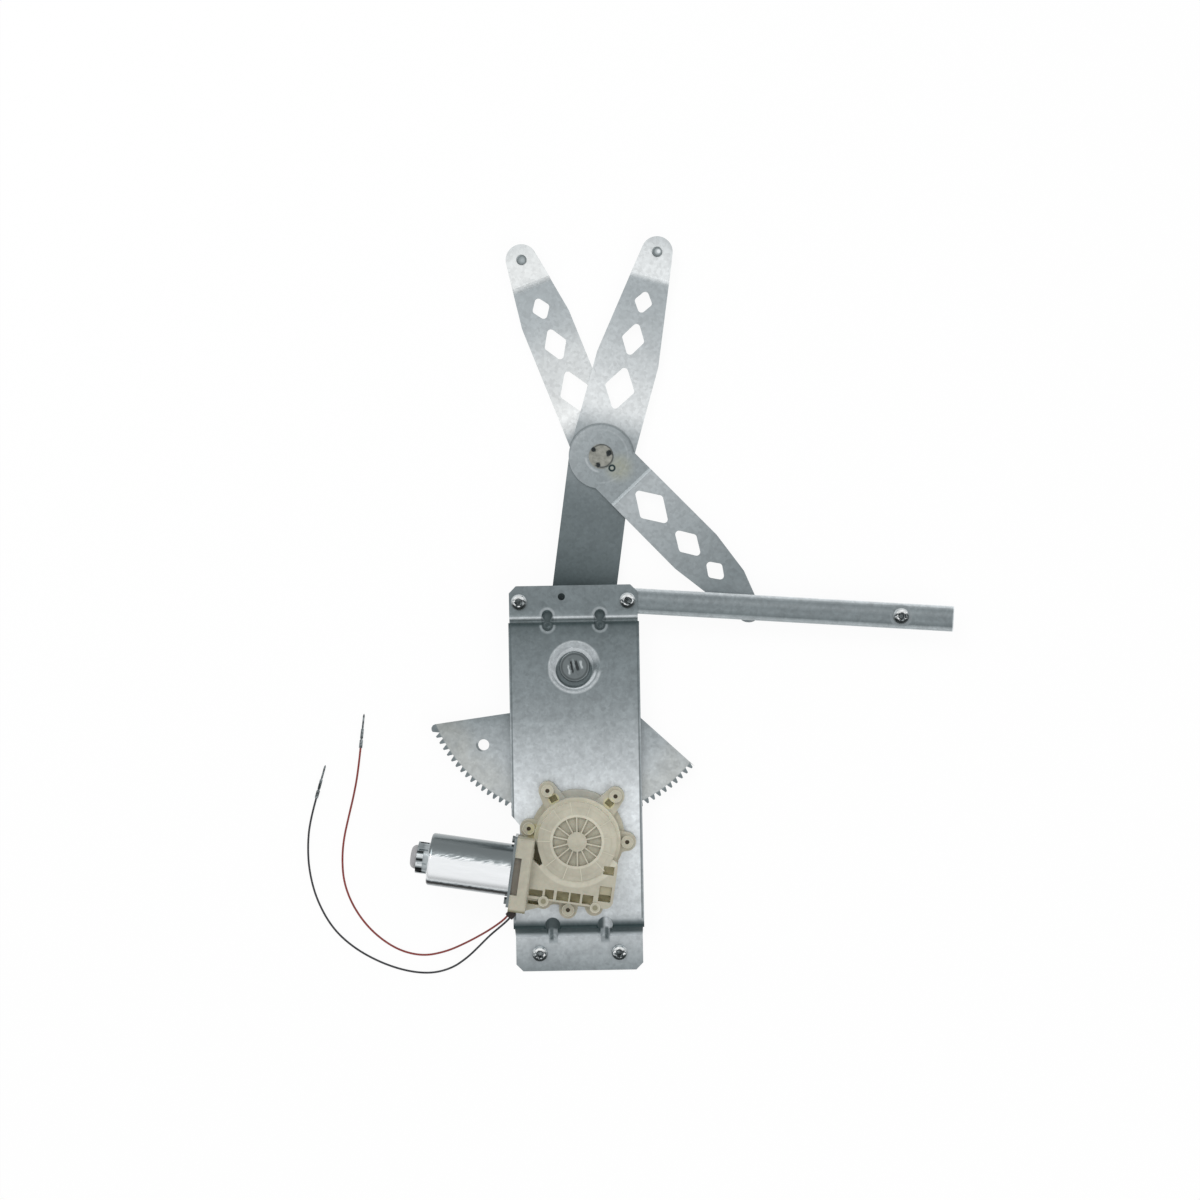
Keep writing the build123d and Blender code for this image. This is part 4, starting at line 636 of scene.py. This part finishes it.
def pin_tones(place, shade_x, shade_y, centre, glint):
    """A roller pin's end: dull centre, darker rim on its shaded side and a glint on the other."""
    def draw(sheet):
        x, y, _ = sheet.axes(flat(place))
        rim = sheet.band(sheet.away(x, y), 2.4, 3.4, 0.8)
        shaded = sheet.spot(x, y, shade_x, shade_y)
        lit = sheet.spot(x, y, 1.4 * shade_x, 1.4 * shade_y)
        return sheet.layers(plating_shade(centre), (138, rim),
                            (118, sheet.rise(shaded, 2.7, 1.6)),
                            (glint, sheet.below(lit, 1.5, 1.2)))
    return draw


# Nuts on the plate and on the rail, in millimetres from the main pivot
PLATE_NUTS = ((-42.5, 51.4), (-31.5, -227.5), (31.5, -227.5))
RAIL_NUTS = ((42.5, 51.4), (256.6, 35.5))
NUT_REACH = 8.0


def nut_tones(places):
    """Chromed nuts: blotchy painted reflections, a painted highlight above, painted shade along the
    foot and at the thread.
    """
    def draw(sheet):
        band, rise, below = sheet.band, sheet.rise, sheet.below
        x, y, _ = sheet.axes(MAIN_PIVOT)
        away, height = None, None
        for px, py in places:
            reach = sheet.spot(x, y, px, py)
            inside = sheet.both(sheet.math("SUBTRACT", y, py), below(reach, NUT_REACH, 0.5))
            away = reach if away is None else sheet.math("MINIMUM", away, reach)
            height = inside if height is None else sheet.math("ADD", height, inside)
        tone = sheet.ramp(sheet.noise(620.0, 2.0, 0.6), NUT_REFLECTION_BLOTCHES, plating_shade)
        # Painted highlight on the nut's upper side
        tone = sheet.layers(tone, (248, band(away, 3.0, 5.2, 0.8), rise(height, 2.0, 2.0), 0.7))
        # The flange: painted highlight on its upper side and painted shade on its lower side
        rim = sheet.mix(rise(height, 0.0, 8.0), plating_shade(92), plating_shade(200))
        tone = sheet.mix(rise(away, 5.0, 0.5), tone, rim)
        # Painted shade along the foot and at the thread's edge; a plain grey middle
        return sheet.layers(
            tone, (46, band(away, 3.9, 5.6, 0.8), below(height, -1.6, 2.0)),
            (44, band(away, 2.0, 2.9, 0.5)), (150, below(away, 1.9, 0.6)))
    return draw


# Painted reflections on the mirroring nuts as blotches, and blotches of crimped tin: share of the
# noise and display level
NUT_REFLECTION_BLOTCHES = ((0.40, 42), (0.49, 104), (0.56, 176), (0.64, 250))
TIN_BLOTCHES = ((0.36, 52), (0.5, 104), (0.64, 150))
# Display levels across the can, painted reflections in bands, along the bearing cup, and the cup's
# rows across it
CAN_REFLECTION_BANDS = (
    (-20.5, 152), (-19.4, 142), (-18.2, 122), (-17.5, 20), (-15.8, 16), (-15.1, 130), (-14.2, 212),
    (-12.6, 228), (-9.0, 236), (0.0, 240), (4.2, 234), (5.8, 205), (7.2, 142), (9.0, 122),
    (12.0, 116), (15.0, 122), (17.0, 112), (18.4, 140), (20.5, 158),
)
CUP_TONES = (
    (-124.0, 150), (-121.0, 140), (-117.4, 132), (-116.4, 150), (-115.4, 170), (-111.0, 178),
)
CUP_SLOTS_END = -116.4
# The cup's rows: painted shade in its slots and painted highlights on the bars between them
CUP_ROWS = (
    (-10.6, -6.6, 26), (-5.4, -2.4, 214), (-1.2, 0.6, 40), (1.4, 3.8, 208), (4.6, 6.2, 46),
    (7.0, 8.6, 150),
)


def can_reflection_tones(sheet):
    """Painted reflections round the motor can, in bands by the distance across it, with slanting
    ripples.
    """
    _, across, _ = sheet.axes(ARMATURE_AXIS, MOTOR_TURN)
    ripples = sheet.noise(820.0, 2.0, 0.5, (7.0, 1.0, 1.0), MOTOR_TURN + 22.0)
    wave = sheet.both(sheet.spread(ripples, -4.2, 4.2),
                      sheet.spread(sheet.band(across, 3.0, 12.0, 5.0), 0.22, 1.0))
    return sheet.profile(sheet.math("ADD", across, wave), CAN_REFLECTION_BANDS)


def cup_tones(sheet):
    """Tones along the bearing cup: pale at the can, painted shade in its slots, painted highlights
    between them.
    """
    along, _, _ = sheet.axes(OUTPUT_ORIGIN, MOTOR_TURN)
    _, across, _ = sheet.axes(ARMATURE_AXIS, MOTOR_TURN)
    slotted = sheet.below(along, CUP_SLOTS_END, 1.0)
    return sheet.layers(sheet.profile(along, CUP_TONES),
                        *((level, sheet.band(across, low, high, 0.6), slotted)
                          for low, high, level in CUP_ROWS))


def crimp_tones(sheet):
    """Blotchy grey of a crimped tin-plated terminal."""
    return sheet.ramp(sheet.noise(300.0, 3.0, 0.6), TIN_BLOTCHES, plating_shade)


def moulded(name, tint, roughness, grain=1100.0, variation=0.06, rubber=False):
    """Moulded plastic or rubber with a fine surface grain and slow tone changes."""
    sheet = Sheet(name)
    clouds = sheet.noise(60.0, 3.0, 0.5)
    low, high = (tuple(min(1.0, c * (1 + d)) for c in tint) for d in (-variation, variation))
    sheet.paint(Base_Color=sheet.ramp(clouds, [(0.3, low), (0.7, high)]),
                Roughness=sheet.spread(sheet.noise(grain), roughness - 0.05, roughness + 0.07),
                Specular_IOR_Level=0.3 if rubber else 0.45)
    return sheet.bump(sheet.noise(grain, 2.0), 0.15, 0.0001)


# Heights of the housing's faces, in millimetres
HUB_FACE_Z = 44.0
SPOKE_EDGE_Z = 43.2
EAR_FACE_Z = 30.0
EAR_RING_Z = 32.5
# Where the housing's pockets lie, from the output shaft in the motor's axes, and their brim height
POCKET_AREAS = (
    (-19.6, 18.9, -47.3, -39.5, 42.4), (22.0, 32.2, -43.6, -31.2, 42.4),
    (23.2, 31.9, -22.4, -15.3, 42.4), (-31.9, -20.7, -46.7, -40.9, 38.0),
    (-31.9, -22.8, -53.7, -50.3, 37.4),
)
SHALLOW_POCKET_Z = 38.5
# The deep pockets' and the ears' olive is painted lighter than the nylon: painted light that lifts
# their shade
LIT_POCKET_OLIVE = (0.600, 0.560, 0.370)
SHALLOW_OLIVE = (0.360, 0.335, 0.230)
LIT_EAR_OLIVE = (0.520, 0.490, 0.310)
SHADED_NYLON = (0.33, 0.34, 0.32)
EAR_POCKET_PLACES = ((-18.0, 32.3), (25.4, 28.2))
# Ears round the housing and the two bosses at its lower edge, from the output shaft
EAR_PLACES = ((-22.6, 38.8), (30.4, 33.6), (-8.2, -54.3), (38.9, -2.2), (-37.6, 9.6))
LIP_PLACES = ((-27.0, -45.6), (13.0, -51.4))
FACE_RIB_TURNS = (178, 158, 126, 99, 68, 32, 6, -22, -48, -84, -112, -143)
PANEL_AREA = (-46.5, -40.3, -47.2, -17.8)


def housing_nylon():
    """Ivory nylon: paler ribs and rims, painted shade low down and between the spokes, olive
    pockets painted lighter, a taupe panel in the motor block.
    """
    finish = bpy.context.scene.regulator_finish
    plain, pale, deep = tuple(finish.nylon), tuple(finish.nylon_pale), tuple(finish.nylon_deep)
    sheet = Sheet("ivory nylon")
    band, rise, below = sheet.band, sheet.rise, sheet.below
    x, y, z = sheet.axes(OUTPUT_ORIGIN)
    u, v, _ = sheet.axes(OUTPUT_ORIGIN, MOTOR_TURN)
    away = sheet.away(x, y)

    def patch(u0, u1, v0, v1):
        return sheet.both(band(u, u0, u1, 1.0), band(v, v0, v1, 1.0))

    # Hub: painted shade low down and between the spokes, rim, shaded upper edge, spokes and the
    # faces between them, two rings on the face
    spokes = band(away, 7.4, 19.2, 0.6)
    face = rise(z, SPOKE_EDGE_Z, 0.6)
    tone = sheet.layers(
        sheet.mix(rise(z, 25.0, 6.0), mixed(deep, plain, 0.80), plain),
        (pale, band(away, 30.2, 35.5, 1.4), rise(z, 34.0, 1.0), below(z, 43.4, 0.6)),
        (SHADED_NYLON, rise(away, 33.4, 1.0), rise(y, 14.0, 10.0), band(x, -18.0, 20.0, 8.0), 0.6),
        (mixed(deep, plain, 0.84), spokes, below(z, SPOKE_EDGE_Z, 0.6)),
        (mixed(plain, pale, 0.5), spokes, rise(z, SPOKE_EDGE_Z, 0.4)),
        (pale, band(away, 19.0, 21.0, 0.8), face),
        (mixed(deep, plain, 0.8), band(away, 26.2, 27.2, 0.8), face, 0.45))
    # Pockets in the tunnel, at the ears and beside the block; the deep ones, those at the ears and
    # beside the block are painted lighter, painted light that lifts their shade
    olive = sheet.mix(rise(z, SHALLOW_POCKET_Z, 2.0), LIT_POCKET_OLIVE, SHALLOW_OLIVE)
    for *area, height in POCKET_AREAS:
        tone = sheet.mix(sheet.both(patch(*area), below(z, height, 0.6)), tone, olive)
    for px, py in EAR_POCKET_PLACES:
        spot = sheet.spot(x, y, px, py)
        tone = sheet.layers(tone, (LIT_EAR_OLIVE, band(spot, -1.0, 4.4, 1.0), below(z, 34.0, 0.6)))
    tone = sheet.layers(
        tone,
        (LIT_EAR_OLIVE, band(x, -38.5, -27.0, 1.2), band(y, -18.5, 13.0, 1.2), below(z, 36.0, 0.6)),
        (tuple(finish.nylon_panel), patch(*PANEL_AREA), rise(z, 45.0, 1.0), below(z, 48.5, 0.6)),
        (mixed(deep, plain, 0.10), band(u, -47.0, -32.0, 1.0), below(v, -58.4, 2.4)))
    clouds = sheet.spread(sheet.noise(110.0, 4.0, 0.6), 0.80, 1.20)
    grain = sheet.spread(sheet.noise(330.0, 3.0, 0.55), 0.88, 1.12)
    drift = sheet.spread(rise(sheet.math("ADD", x, y), 4.0, 60.0), 0.93, 1.08)
    tone = sheet.mix(1.0, tone, sheet.both(clouds, grain, drift), "MULTIPLY")
    sheet.paint(Base_Color=tone, Roughness=sheet.spread(sheet.noise(500.0), 0.44, 0.60),
                Subsurface_Weight=0.08, Subsurface_Scale=0.002)
    return sheet.bump(sheet.noise(1300.0, 3.0), 0.12, 0.0002)


# ----- Meshes -----

def dress(material, *nodes):
    """Gives CAD nodes' objects one material in every slot."""
    for node in nodes:
        mesh = NODES[node].data
        if not mesh.materials:
            mesh.materials.append(material)
        for index in range(len(mesh.materials)):
            mesh.materials[index] = material


def add_object(name, data):
    """A new object in the scene."""
    made = bpy.data.objects.new(name, data)
    bpy.context.scene.collection.objects.link(made)
    return made


def repeated(name, places, build, sizes, material, centre):
    """The same small shape at every place, turned away from a centre, by a Geometry Nodes tree."""
    mesh = bpy.data.meshes.new(f"{name} places")
    mesh.from_pydata([tuple(place) for place in places], [], [])
    piece = add_object(name, mesh)
    nodes = Nodes(bpy.data.node_groups.new(name, "GeometryNodeTree"))

    def socket(key, kind, way="INPUT"):
        return nodes.tree.interface.new_socket(key, in_out=way, socket_type=f"NodeSocket{kind}")

    socket("Geometry", "Geometry")
    socket("Geometry", "Geometry", "OUTPUT")
    named = {key: socket(key, "Float") for key in sizes}
    middle = socket("Centre", "Vector")
    start = nodes.node("NodeGroupInput").outputs
    away = nodes.node("ShaderNodeVectorMath", operation="SUBTRACT")
    nodes.feed(away.inputs, nodes.node("GeometryNodeInputPosition").outputs[0], start["Centre"])
    turn = nodes.node("FunctionNodeAlignRotationToVector", axis="X", pivot_axis="Z",
                      Vector=away.outputs[0])
    spread = nodes.node("GeometryNodeInstanceOnPoints", Points=start["Geometry"],
                        Instance=build(nodes, start), Rotation=turn.outputs[0])
    real = nodes.node("GeometryNodeRealizeInstances", Geometry=spread.outputs[0])
    paint = nodes.node("GeometryNodeSetMaterial", Geometry=real.outputs[0])
    paint.inputs["Material"].default_value = material
    nodes.feed(nodes.node("NodeGroupOutput").inputs, paint.outputs[0])
    modifier = piece.modifiers.new(name, "NODES")
    modifier.node_group = nodes.tree
    for key, made in named.items():
        modifier[made.identifier] = sizes[key]
    modifier[middle.identifier] = tuple(centre)
    finished = piece.evaluated_get(bpy.context.evaluated_depsgraph_get())
    finished = bpy.data.meshes.new_from_object(finished)
    piece.modifiers.clear()
    piece.data = finished
    bpy.data.meshes.remove(mesh)
    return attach(piece, "root")


def rib_shape(nodes, sizes):
    """A low bar, long away from the centre."""
    size = nodes.node("ShaderNodeCombineXYZ", X=sizes["Length"], Y=sizes["Width"],
                      Z=sizes["Height"])
    return nodes.node("GeometryNodeMeshCube", Size=size.outputs[0]).outputs["Mesh"]


def ring_shape(nodes, sizes):
    """A round bead on a circle."""
    circle, bead = (nodes.node("GeometryNodeCurvePrimitiveCircle", Resolution=points,
                               Radius=sizes[key]).outputs["Curve"]
                    for key, points in (("Radius", 40), ("Bead", 10)))
    return nodes.node("GeometryNodeCurveToMesh", Curve=circle,
                      Profile_Curve=bead).outputs["Mesh"]


def post_shape(nodes, sizes):
    """A round post standing up from its place."""
    return nodes.node("GeometryNodeMeshCylinder", Vertices=32, Radius=sizes["Radius"],
                      Depth=sizes["Height"]).outputs["Mesh"]


# ----- Operators -----

# The stage, in metres: half the floor's width, the lamps with their widths, and the place and
# the height over the floor at which the camera measures its view
FLOOR_HALF = 6.0
FLOOR_WHITE = 0.93
FLOOR_GLOW = 0.93
LAMPS = (("key", (-0.9, 1.5, 1.9), 1.2), ("fill", (1.2, -1.1, 1.7), 1.6))
LAMP_AIM = Vector((0.02, 0.28, 0.0))
CAMERA_PLACE = (0.0210, PIVOT_Y + 0.0521)
VIEW_LEVEL = 0.009


class REGULATOR_OT_stage(bpy.types.Operator):
    """Makes the floor, the lamps, the world and the camera"""

    bl_idname = "regulator.stage"
    bl_label = "Stage"

    def execute(self, context):
        stage = context.scene.regulator_stage
        self.floor()
        self.world(stage.world_light)
        self.lamps(stage)
        self.camera(context, stage)
        context.scene.view_settings.view_transform = "Standard"
        return {"FINISHED"}

    def floor(self):
        """A wide floor that looks almost white to the camera and in mirrors."""
        corners = [(x * FLOOR_HALF, y * FLOOR_HALF, 0)
                   for x, y in ((-1, -1), (1, -1), (1, 1), (-1, 1))]
        mesh = bpy.data.meshes.new("floor")
        mesh.from_pydata(corners, [], [(0, 1, 2, 3)])
        sheet = Sheet("white floor")
        sheet.paint(Base_Color=(FLOOR_WHITE, FLOOR_WHITE, FLOOR_WHITE), Roughness=0.9)
        glow = sheet.node("ShaderNodeEmission", Color=(1.0, 1.0, 1.0))
        rays = sheet.node("ShaderNodeLightPath").outputs
        seen = sheet.math("MAXIMUM", rays["Is Camera Ray"], rays["Is Glossy Ray"])
        blend = sheet.node("ShaderNodeMixShader")
        sheet.feed(blend.inputs, sheet.both(seen, FLOOR_GLOW), sheet.shader.outputs[0],
                   glow.outputs[0])
        sheet.fill(sheet.output, Surface=blend.outputs[0])
        mesh.materials.append(sheet.material)
        add_object("floor", mesh)

    def world(self, strength):
        """Even white light; plating mirrors a studio that dims low down, most below the door."""
        world = bpy.data.worlds.new("studio")
        bpy.context.scene.world = world
        world.use_nodes = True
        nodes = Nodes(world.node_tree)
        nodes.tree.nodes.clear()

        def blend(factor, low, high):
            made = nodes.node("ShaderNodeMix", data_type="FLOAT")
            nodes.feed(made.inputs[:1] + made.inputs[2:4], factor, low, high)
            return made.outputs[0]

        way = nodes.node("ShaderNodeTexCoord").outputs["Generated"]
        _, y, z = nodes.node("ShaderNodeSeparateXYZ", Vector=way).outputs
        low_down = nodes.stretched(y, -0.7, 0.7, 0.55, 0.85, "SMOOTHSTEP")
        high_up = nodes.stretched(z, 0.05, 0.50, kind="SMOOTHSTEP")
        rays = nodes.node("ShaderNodeLightPath").outputs
        level = blend(rays["Is Glossy Ray"], strength, blend(high_up, low_down, 1.0))
        level = blend(rays["Is Transmission Ray"], level, 1.0)
        level = blend(rays["Is Camera Ray"], level, 1.0)
        light = nodes.node("ShaderNodeBackground", Color=(1.0, 1.0, 1.0), Strength=level)
        nodes.node("ShaderNodeOutputWorld", Surface=light.outputs[0])

    def lamps(self, stage):
        for name, place, size in LAMPS:
            data = bpy.data.lights.new(name, "AREA")
            data.energy = getattr(stage, f"{name}_power")
            data.size = size
            made = add_object(name, data)
            made.location = place
            aim = LAMP_AIM - Vector(place)
            made.rotation_euler = aim.to_track_quat("-Z", "Y").to_euler()

    def camera(self, context, stage):
        data = bpy.data.cameras.new("camera")
        data.sensor_fit = "HORIZONTAL"
        data.angle = 2 * math.atan(stage.view_width / 2 / (stage.camera_height - VIEW_LEVEL))
        made = add_object("camera", data)
        made.location = (*CAMERA_PLACE, stage.camera_height)
        made.rotation_euler = (0.0, 0.0, stage.roll)
        context.scene.camera = made


class REGULATOR_OT_wires(bpy.types.Operator):
    """Makes the red and black wires on their smooth lines"""

    bl_idname = "regulator.wires"
    bl_label = "Wires"

    def execute(self, context):
        wires = context.scene.regulator_wires
        self.wire("red_lead", RED_ROUTE, wires.diameter, wires.red, "red_wire", "red_terminal")
        self.wire("black_lead", BLACK_ROUTE, wires.diameter, wires.black, "black_wire",
                  "black_terminal")
        return {"FINISHED"}

    def wire(self, name, route, diameter, tint, node, terminal):
        """One wire in place of a CAD node, as a cord."""
        points = route_points(route)
        curve = bpy.data.curves.new(name, "CURVE")
        curve.dimensions = "3D"
        curve.bevel_depth = diameter / 2
        curve.bevel_resolution = 5
        curve.resolution_u = 14
        curve.use_fill_caps = True
        spline = curve.splines.new("NURBS")
        spline.points.add(len(points) - 1)
        for control, point in zip(spline.points, points):
            control.co = (*point, 1.0)
        spline.order_u = 3
        spline.use_endpoint_u = True
        curve.materials.append(
            moulded(f"{name} insulation", tuple(tint), 0.42, 900.0, 0.10, True))
        lead = add_object(name, curve)
        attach(lead, "root")
        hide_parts(node)


# Each arm's node, the tip it runs to, its tones, the painted light and shade and the marks of its
# hub, and its warmth
ARMS = (
    ("main_arm", MAIN_TIP, MAIN_ARM_TONES, hub_shadow_line, 0.02),
    ("cross_arm_upper", UPPER_TIP, UPPER_ARM_TONES, hub_shadow_line, 0.03),
    ("cross_arm_lower", GUIDE_TIP, LOWER_ARM_TONES, hub_light_and_marks, 0.02),
)


class REGULATOR_OT_sheet_metal(bpy.types.Operator):
    """Gives the plate, rail, sector and arms their galvanised finish"""

    bl_idname = "regulator.sheet_metal"
    bl_label = "Galvanised sheet"

    def execute(self, context):
        dress(zinc("plate zinc", plate_tones, 0.085), "base_plate")
        dress(zinc("rail zinc", rail_tones), "guide_rail")
        dress(zinc("sector zinc", sector_tones, 0.08), "sector_gear")
        for node, tip, *looks in ARMS:
            name = node.replace("_", " ") + " zinc"
            dress(zinc(name, arm_tones(tip, *looks), 0.03, 0.05), node)
        return {"FINISHED"}


# The nuts' thread and closed end, in millimetres; the thread starts below the nut's top
THREAD_RADIUS = 2.35
THREAD_BEAD = 0.3
THREAD_START = 0.5
THREAD_PITCH = 0.8
THREAD_TURNS = 5
NUT_END_RADIUS = 2.45
NUT_END_DEPTH = 0.8
NUT_END_HEIGHT = 1.1
NUT_NODES = (("plate_nuts", PLATE_NUTS), ("rail_nuts", RAIL_NUTS))


class REGULATOR_OT_fasteners(bpy.types.Operator):
    """Gives nuts, rivets, pins and rollers their finishes"""

    bl_idname = "regulator.fasteners"
    bl_label = "Fasteners and rollers"

    def execute(self, context):
        finish = context.scene.regulator_finish
        for node, places in NUT_NODES:
            name = node.replace("_", " ") + " plating"
            dress(plated(name, nut_tones(places), 0.16), node)
        dress(plated("rivet steel", finish.steel, 0.34, variation=0.2),
              "pivot_washer", "sector_rivets", "guide_roller_pin", "can_screws", "drive_plate")
        dress(plated("headed rivet", pivot_rivet_tones, 0.34), "main_pivot_rivet")
        dress(plated("staked bush", bush_tones, 0.42), "cross_pivot_bush")
        main_pin = pin_tones(MAIN_TIP, 0.9, 0.2, 165, 214)
        upper_pin = pin_tones(UPPER_TIP, 0.6, -0.5, 142, 156)
        dress(plated("main pin steel", main_pin, 0.3), "main_roller_pin")
        dress(plated("upper pin steel", upper_pin, 0.3), "upper_roller_pin")
        dress(plated("aged screw steel", (0.085, 0.070, 0.052), 0.5, variation=0.25),
              "motor_screws", "cover_pins")
        self.threads()
        dress(moulded("white acetal", tuple(finish.roller), 0.38),
              "main_roller", "upper_roller", "guide_roller", "worm_wheel")
        return {"FINISHED"}

    def threads(self):
        """The thread's turns and the closed end in each nut's bore."""
        turns, ends = [], []
        for node, places in NUT_NODES:
            for x, y in places:
                middle = MAIN_PIVOT + Vector((x * MM, y * MM, 0.0))
                heights = [point.co.z for point in NODES[node].data.vertices
                           if math.hypot(point.co.x - middle.x, point.co.y - middle.y)
                           < NUT_REACH * MM]
                middle.z = min(heights) + NUT_END_HEIGHT * MM
                ends.append(middle)
                levels = [max(heights) - (THREAD_START + THREAD_PITCH * turn) * MM
                          for turn in range(THREAD_TURNS)]
                turns += [Vector((middle.x, middle.y, level)) for level in levels
                          if level > middle.z]
        steel = plated("thread steel", crimp_tones, 0.32)
        repeated("nut_threads", turns, ring_shape,
                 {"Radius": THREAD_RADIUS * MM, "Bead": THREAD_BEAD * MM}, steel, MAIN_PIVOT)
        repeated("nut_ends", ends, post_shape,
                 {"Radius": NUT_END_RADIUS * MM, "Height": NUT_END_DEPTH * MM}, steel, MAIN_PIVOT)


class REGULATOR_OT_motor(bpy.types.Operator):
    """Gives the gear motor's shells and inner pieces their finishes"""

    bl_idname = "regulator.motor"
    bl_label = "Gear motor"

    def execute(self, context):
        finish = context.scene.regulator_finish
        dress(housing_nylon(), "gear_housing")
        dress(moulded("olive cover", tuple(finish.nylon_deep), 0.5), "gear_cover")
        dress(plated("can plating", can_reflection_tones, 0.20, MOTOR_TURN, (6.0, 1.0, 1.0), 0.05),
              "motor_can")
        dress(plated("cup plating", cup_tones, 0.22), "bearing_cup")
        dress(plated("flange plating", plating_shade(128), 0.25), "motor_flange")
        dress(moulded("grey cap", tuple(finish.cap), 0.35), "end_cap")
        dress(moulded("ferrite", (0.03, 0.03, 0.032), 0.6), "magnets")
        dress(plated("sintered bronze", (0.45, 0.29, 0.11), 0.45), "rear_bearing", "front_bearing")
        dress(plated("copper", (0.60, 0.23, 0.10), 0.3), "armature_windings", "commutator")
        dress(plated("ground steel", (0.46, 0.47, 0.48), 0.22), "armature_shaft", "output_pinion")
        dress(plated("laminations", (0.12, 0.12, 0.125), 0.5), "armature_core")
        dress(moulded("brush holder", (0.05, 0.05, 0.05), 0.5), "brush_holder")
        dress(moulded("carbon", (0.01, 0.01, 0.01), 0.6), "brushes")
        dress(moulded("damper rubber", (0.015, 0.015, 0.015), 0.6, rubber=True), "damper")
        dress(moulded("sleeve rubber", (0.020, 0.014, 0.012), 0.55, rubber=True), "wire_grommet")
        dress(plated("tinned brass", crimp_tones, 0.3), "red_terminal", "black_terminal")
        return {"FINISHED"}


class REGULATOR_OT_housing_details(bpy.types.Operator):
    """Makes the housing's face ribs, the rings on its ears and the bosses at its lower edge"""

    bl_idname = "regulator.housing_details"
    bl_label = "Housing ribs and bosses"

    def execute(self, context):
        finish = context.scene.regulator_finish
        details = context.scene.regulator_details
        face, ear = HUB_FACE_Z * MM, EAR_FACE_Z * MM
        boss_height = details.boss_top - ear
        pale = moulded("pale nylon", tuple(finish.nylon_pale), 0.5)
        rib_at = (details.rib_start + details.rib_length / 2) / MM
        ribs = [(rib_at * math.cos(turn), rib_at * math.sin(turn))
                for turn in map(math.radians, FACE_RIB_TURNS)]
        self.row("face_ribs", ribs, face, rib_shape, pale, Length=details.rib_length,
                 Width=details.rib_width, Height=2 * details.rib_height)
        self.row("ear_rings", EAR_PLACES, EAR_RING_Z * MM, ring_shape, pale,
                 Radius=details.ear_ring, Bead=details.ear_bead)
        nylon = moulded("boss nylon", tuple(finish.nylon), 0.5)
        self.row("lip_bosses", LIP_PLACES, ear + boss_height / 2, post_shape, nylon,
                 Radius=details.boss, Height=boss_height)
        self.row("lip_boss_rings", LIP_PLACES, details.boss_top, ring_shape, pale,
                 Radius=details.boss - details.ear_bead, Bead=details.ear_bead)
        dull = moulded("boss core", mixed(finish.nylon_deep, finish.nylon, 0.25), 0.5)
        self.row("lip_boss_cores", LIP_PLACES, details.boss_top, post_shape, dull,
                 Radius=details.boss * 0.5, Height=2 * details.rib_height)
        return {"FINISHED"}

    def row(self, name, places, height, shape, material, **sizes):
        """One shape at places in millimetres from the output shaft, at a height in metres."""
        spots = [OUTPUT_ORIGIN + Vector((x * MM, y * MM, height)) for x, y in places]
        centre = OUTPUT_ORIGIN + Vector((0.0, 0.0, HUB_FACE_Z * MM))
        repeated(name, spots, shape, sizes, material, centre)


class REGULATOR_PT_panel(bpy.types.Panel):
    """Lists the steps that dress the regulator"""

    bl_label = "Window regulator"
    bl_idname = "REGULATOR_PT_panel"
    bl_space_type = "VIEW_3D"
    bl_region_type = "UI"
    bl_category = "Regulator"

    def draw(self, context):
        for operator in OPERATORS:
            self.layout.operator(operator.bl_idname)


OPERATORS = (
    REGULATOR_OT_stage,
    REGULATOR_OT_wires,
    REGULATOR_OT_sheet_metal,
    REGULATOR_OT_fasteners,
    REGULATOR_OT_motor,
    REGULATOR_OT_housing_details,
)
CLASSES = tuple(group for _, group in SETTINGS) + OPERATORS + (REGULATOR_PT_panel,)


def register():
    for made in CLASSES:
        bpy.utils.register_class(made)
    for name, group in SETTINGS:
        setattr(bpy.types.Scene, name, PointerProperty(type=group))


def unregister():
    for name, _ in SETTINGS:
        delattr(bpy.types.Scene, name)
    for made in reversed(CLASSES):
        bpy.utils.unregister_class(made)


def main():
    register()
    for operator in OPERATORS:
        group, call = operator.bl_idname.split(".")
        getattr(getattr(bpy.ops, group), call)()


if __name__ == "__main__":
    main()
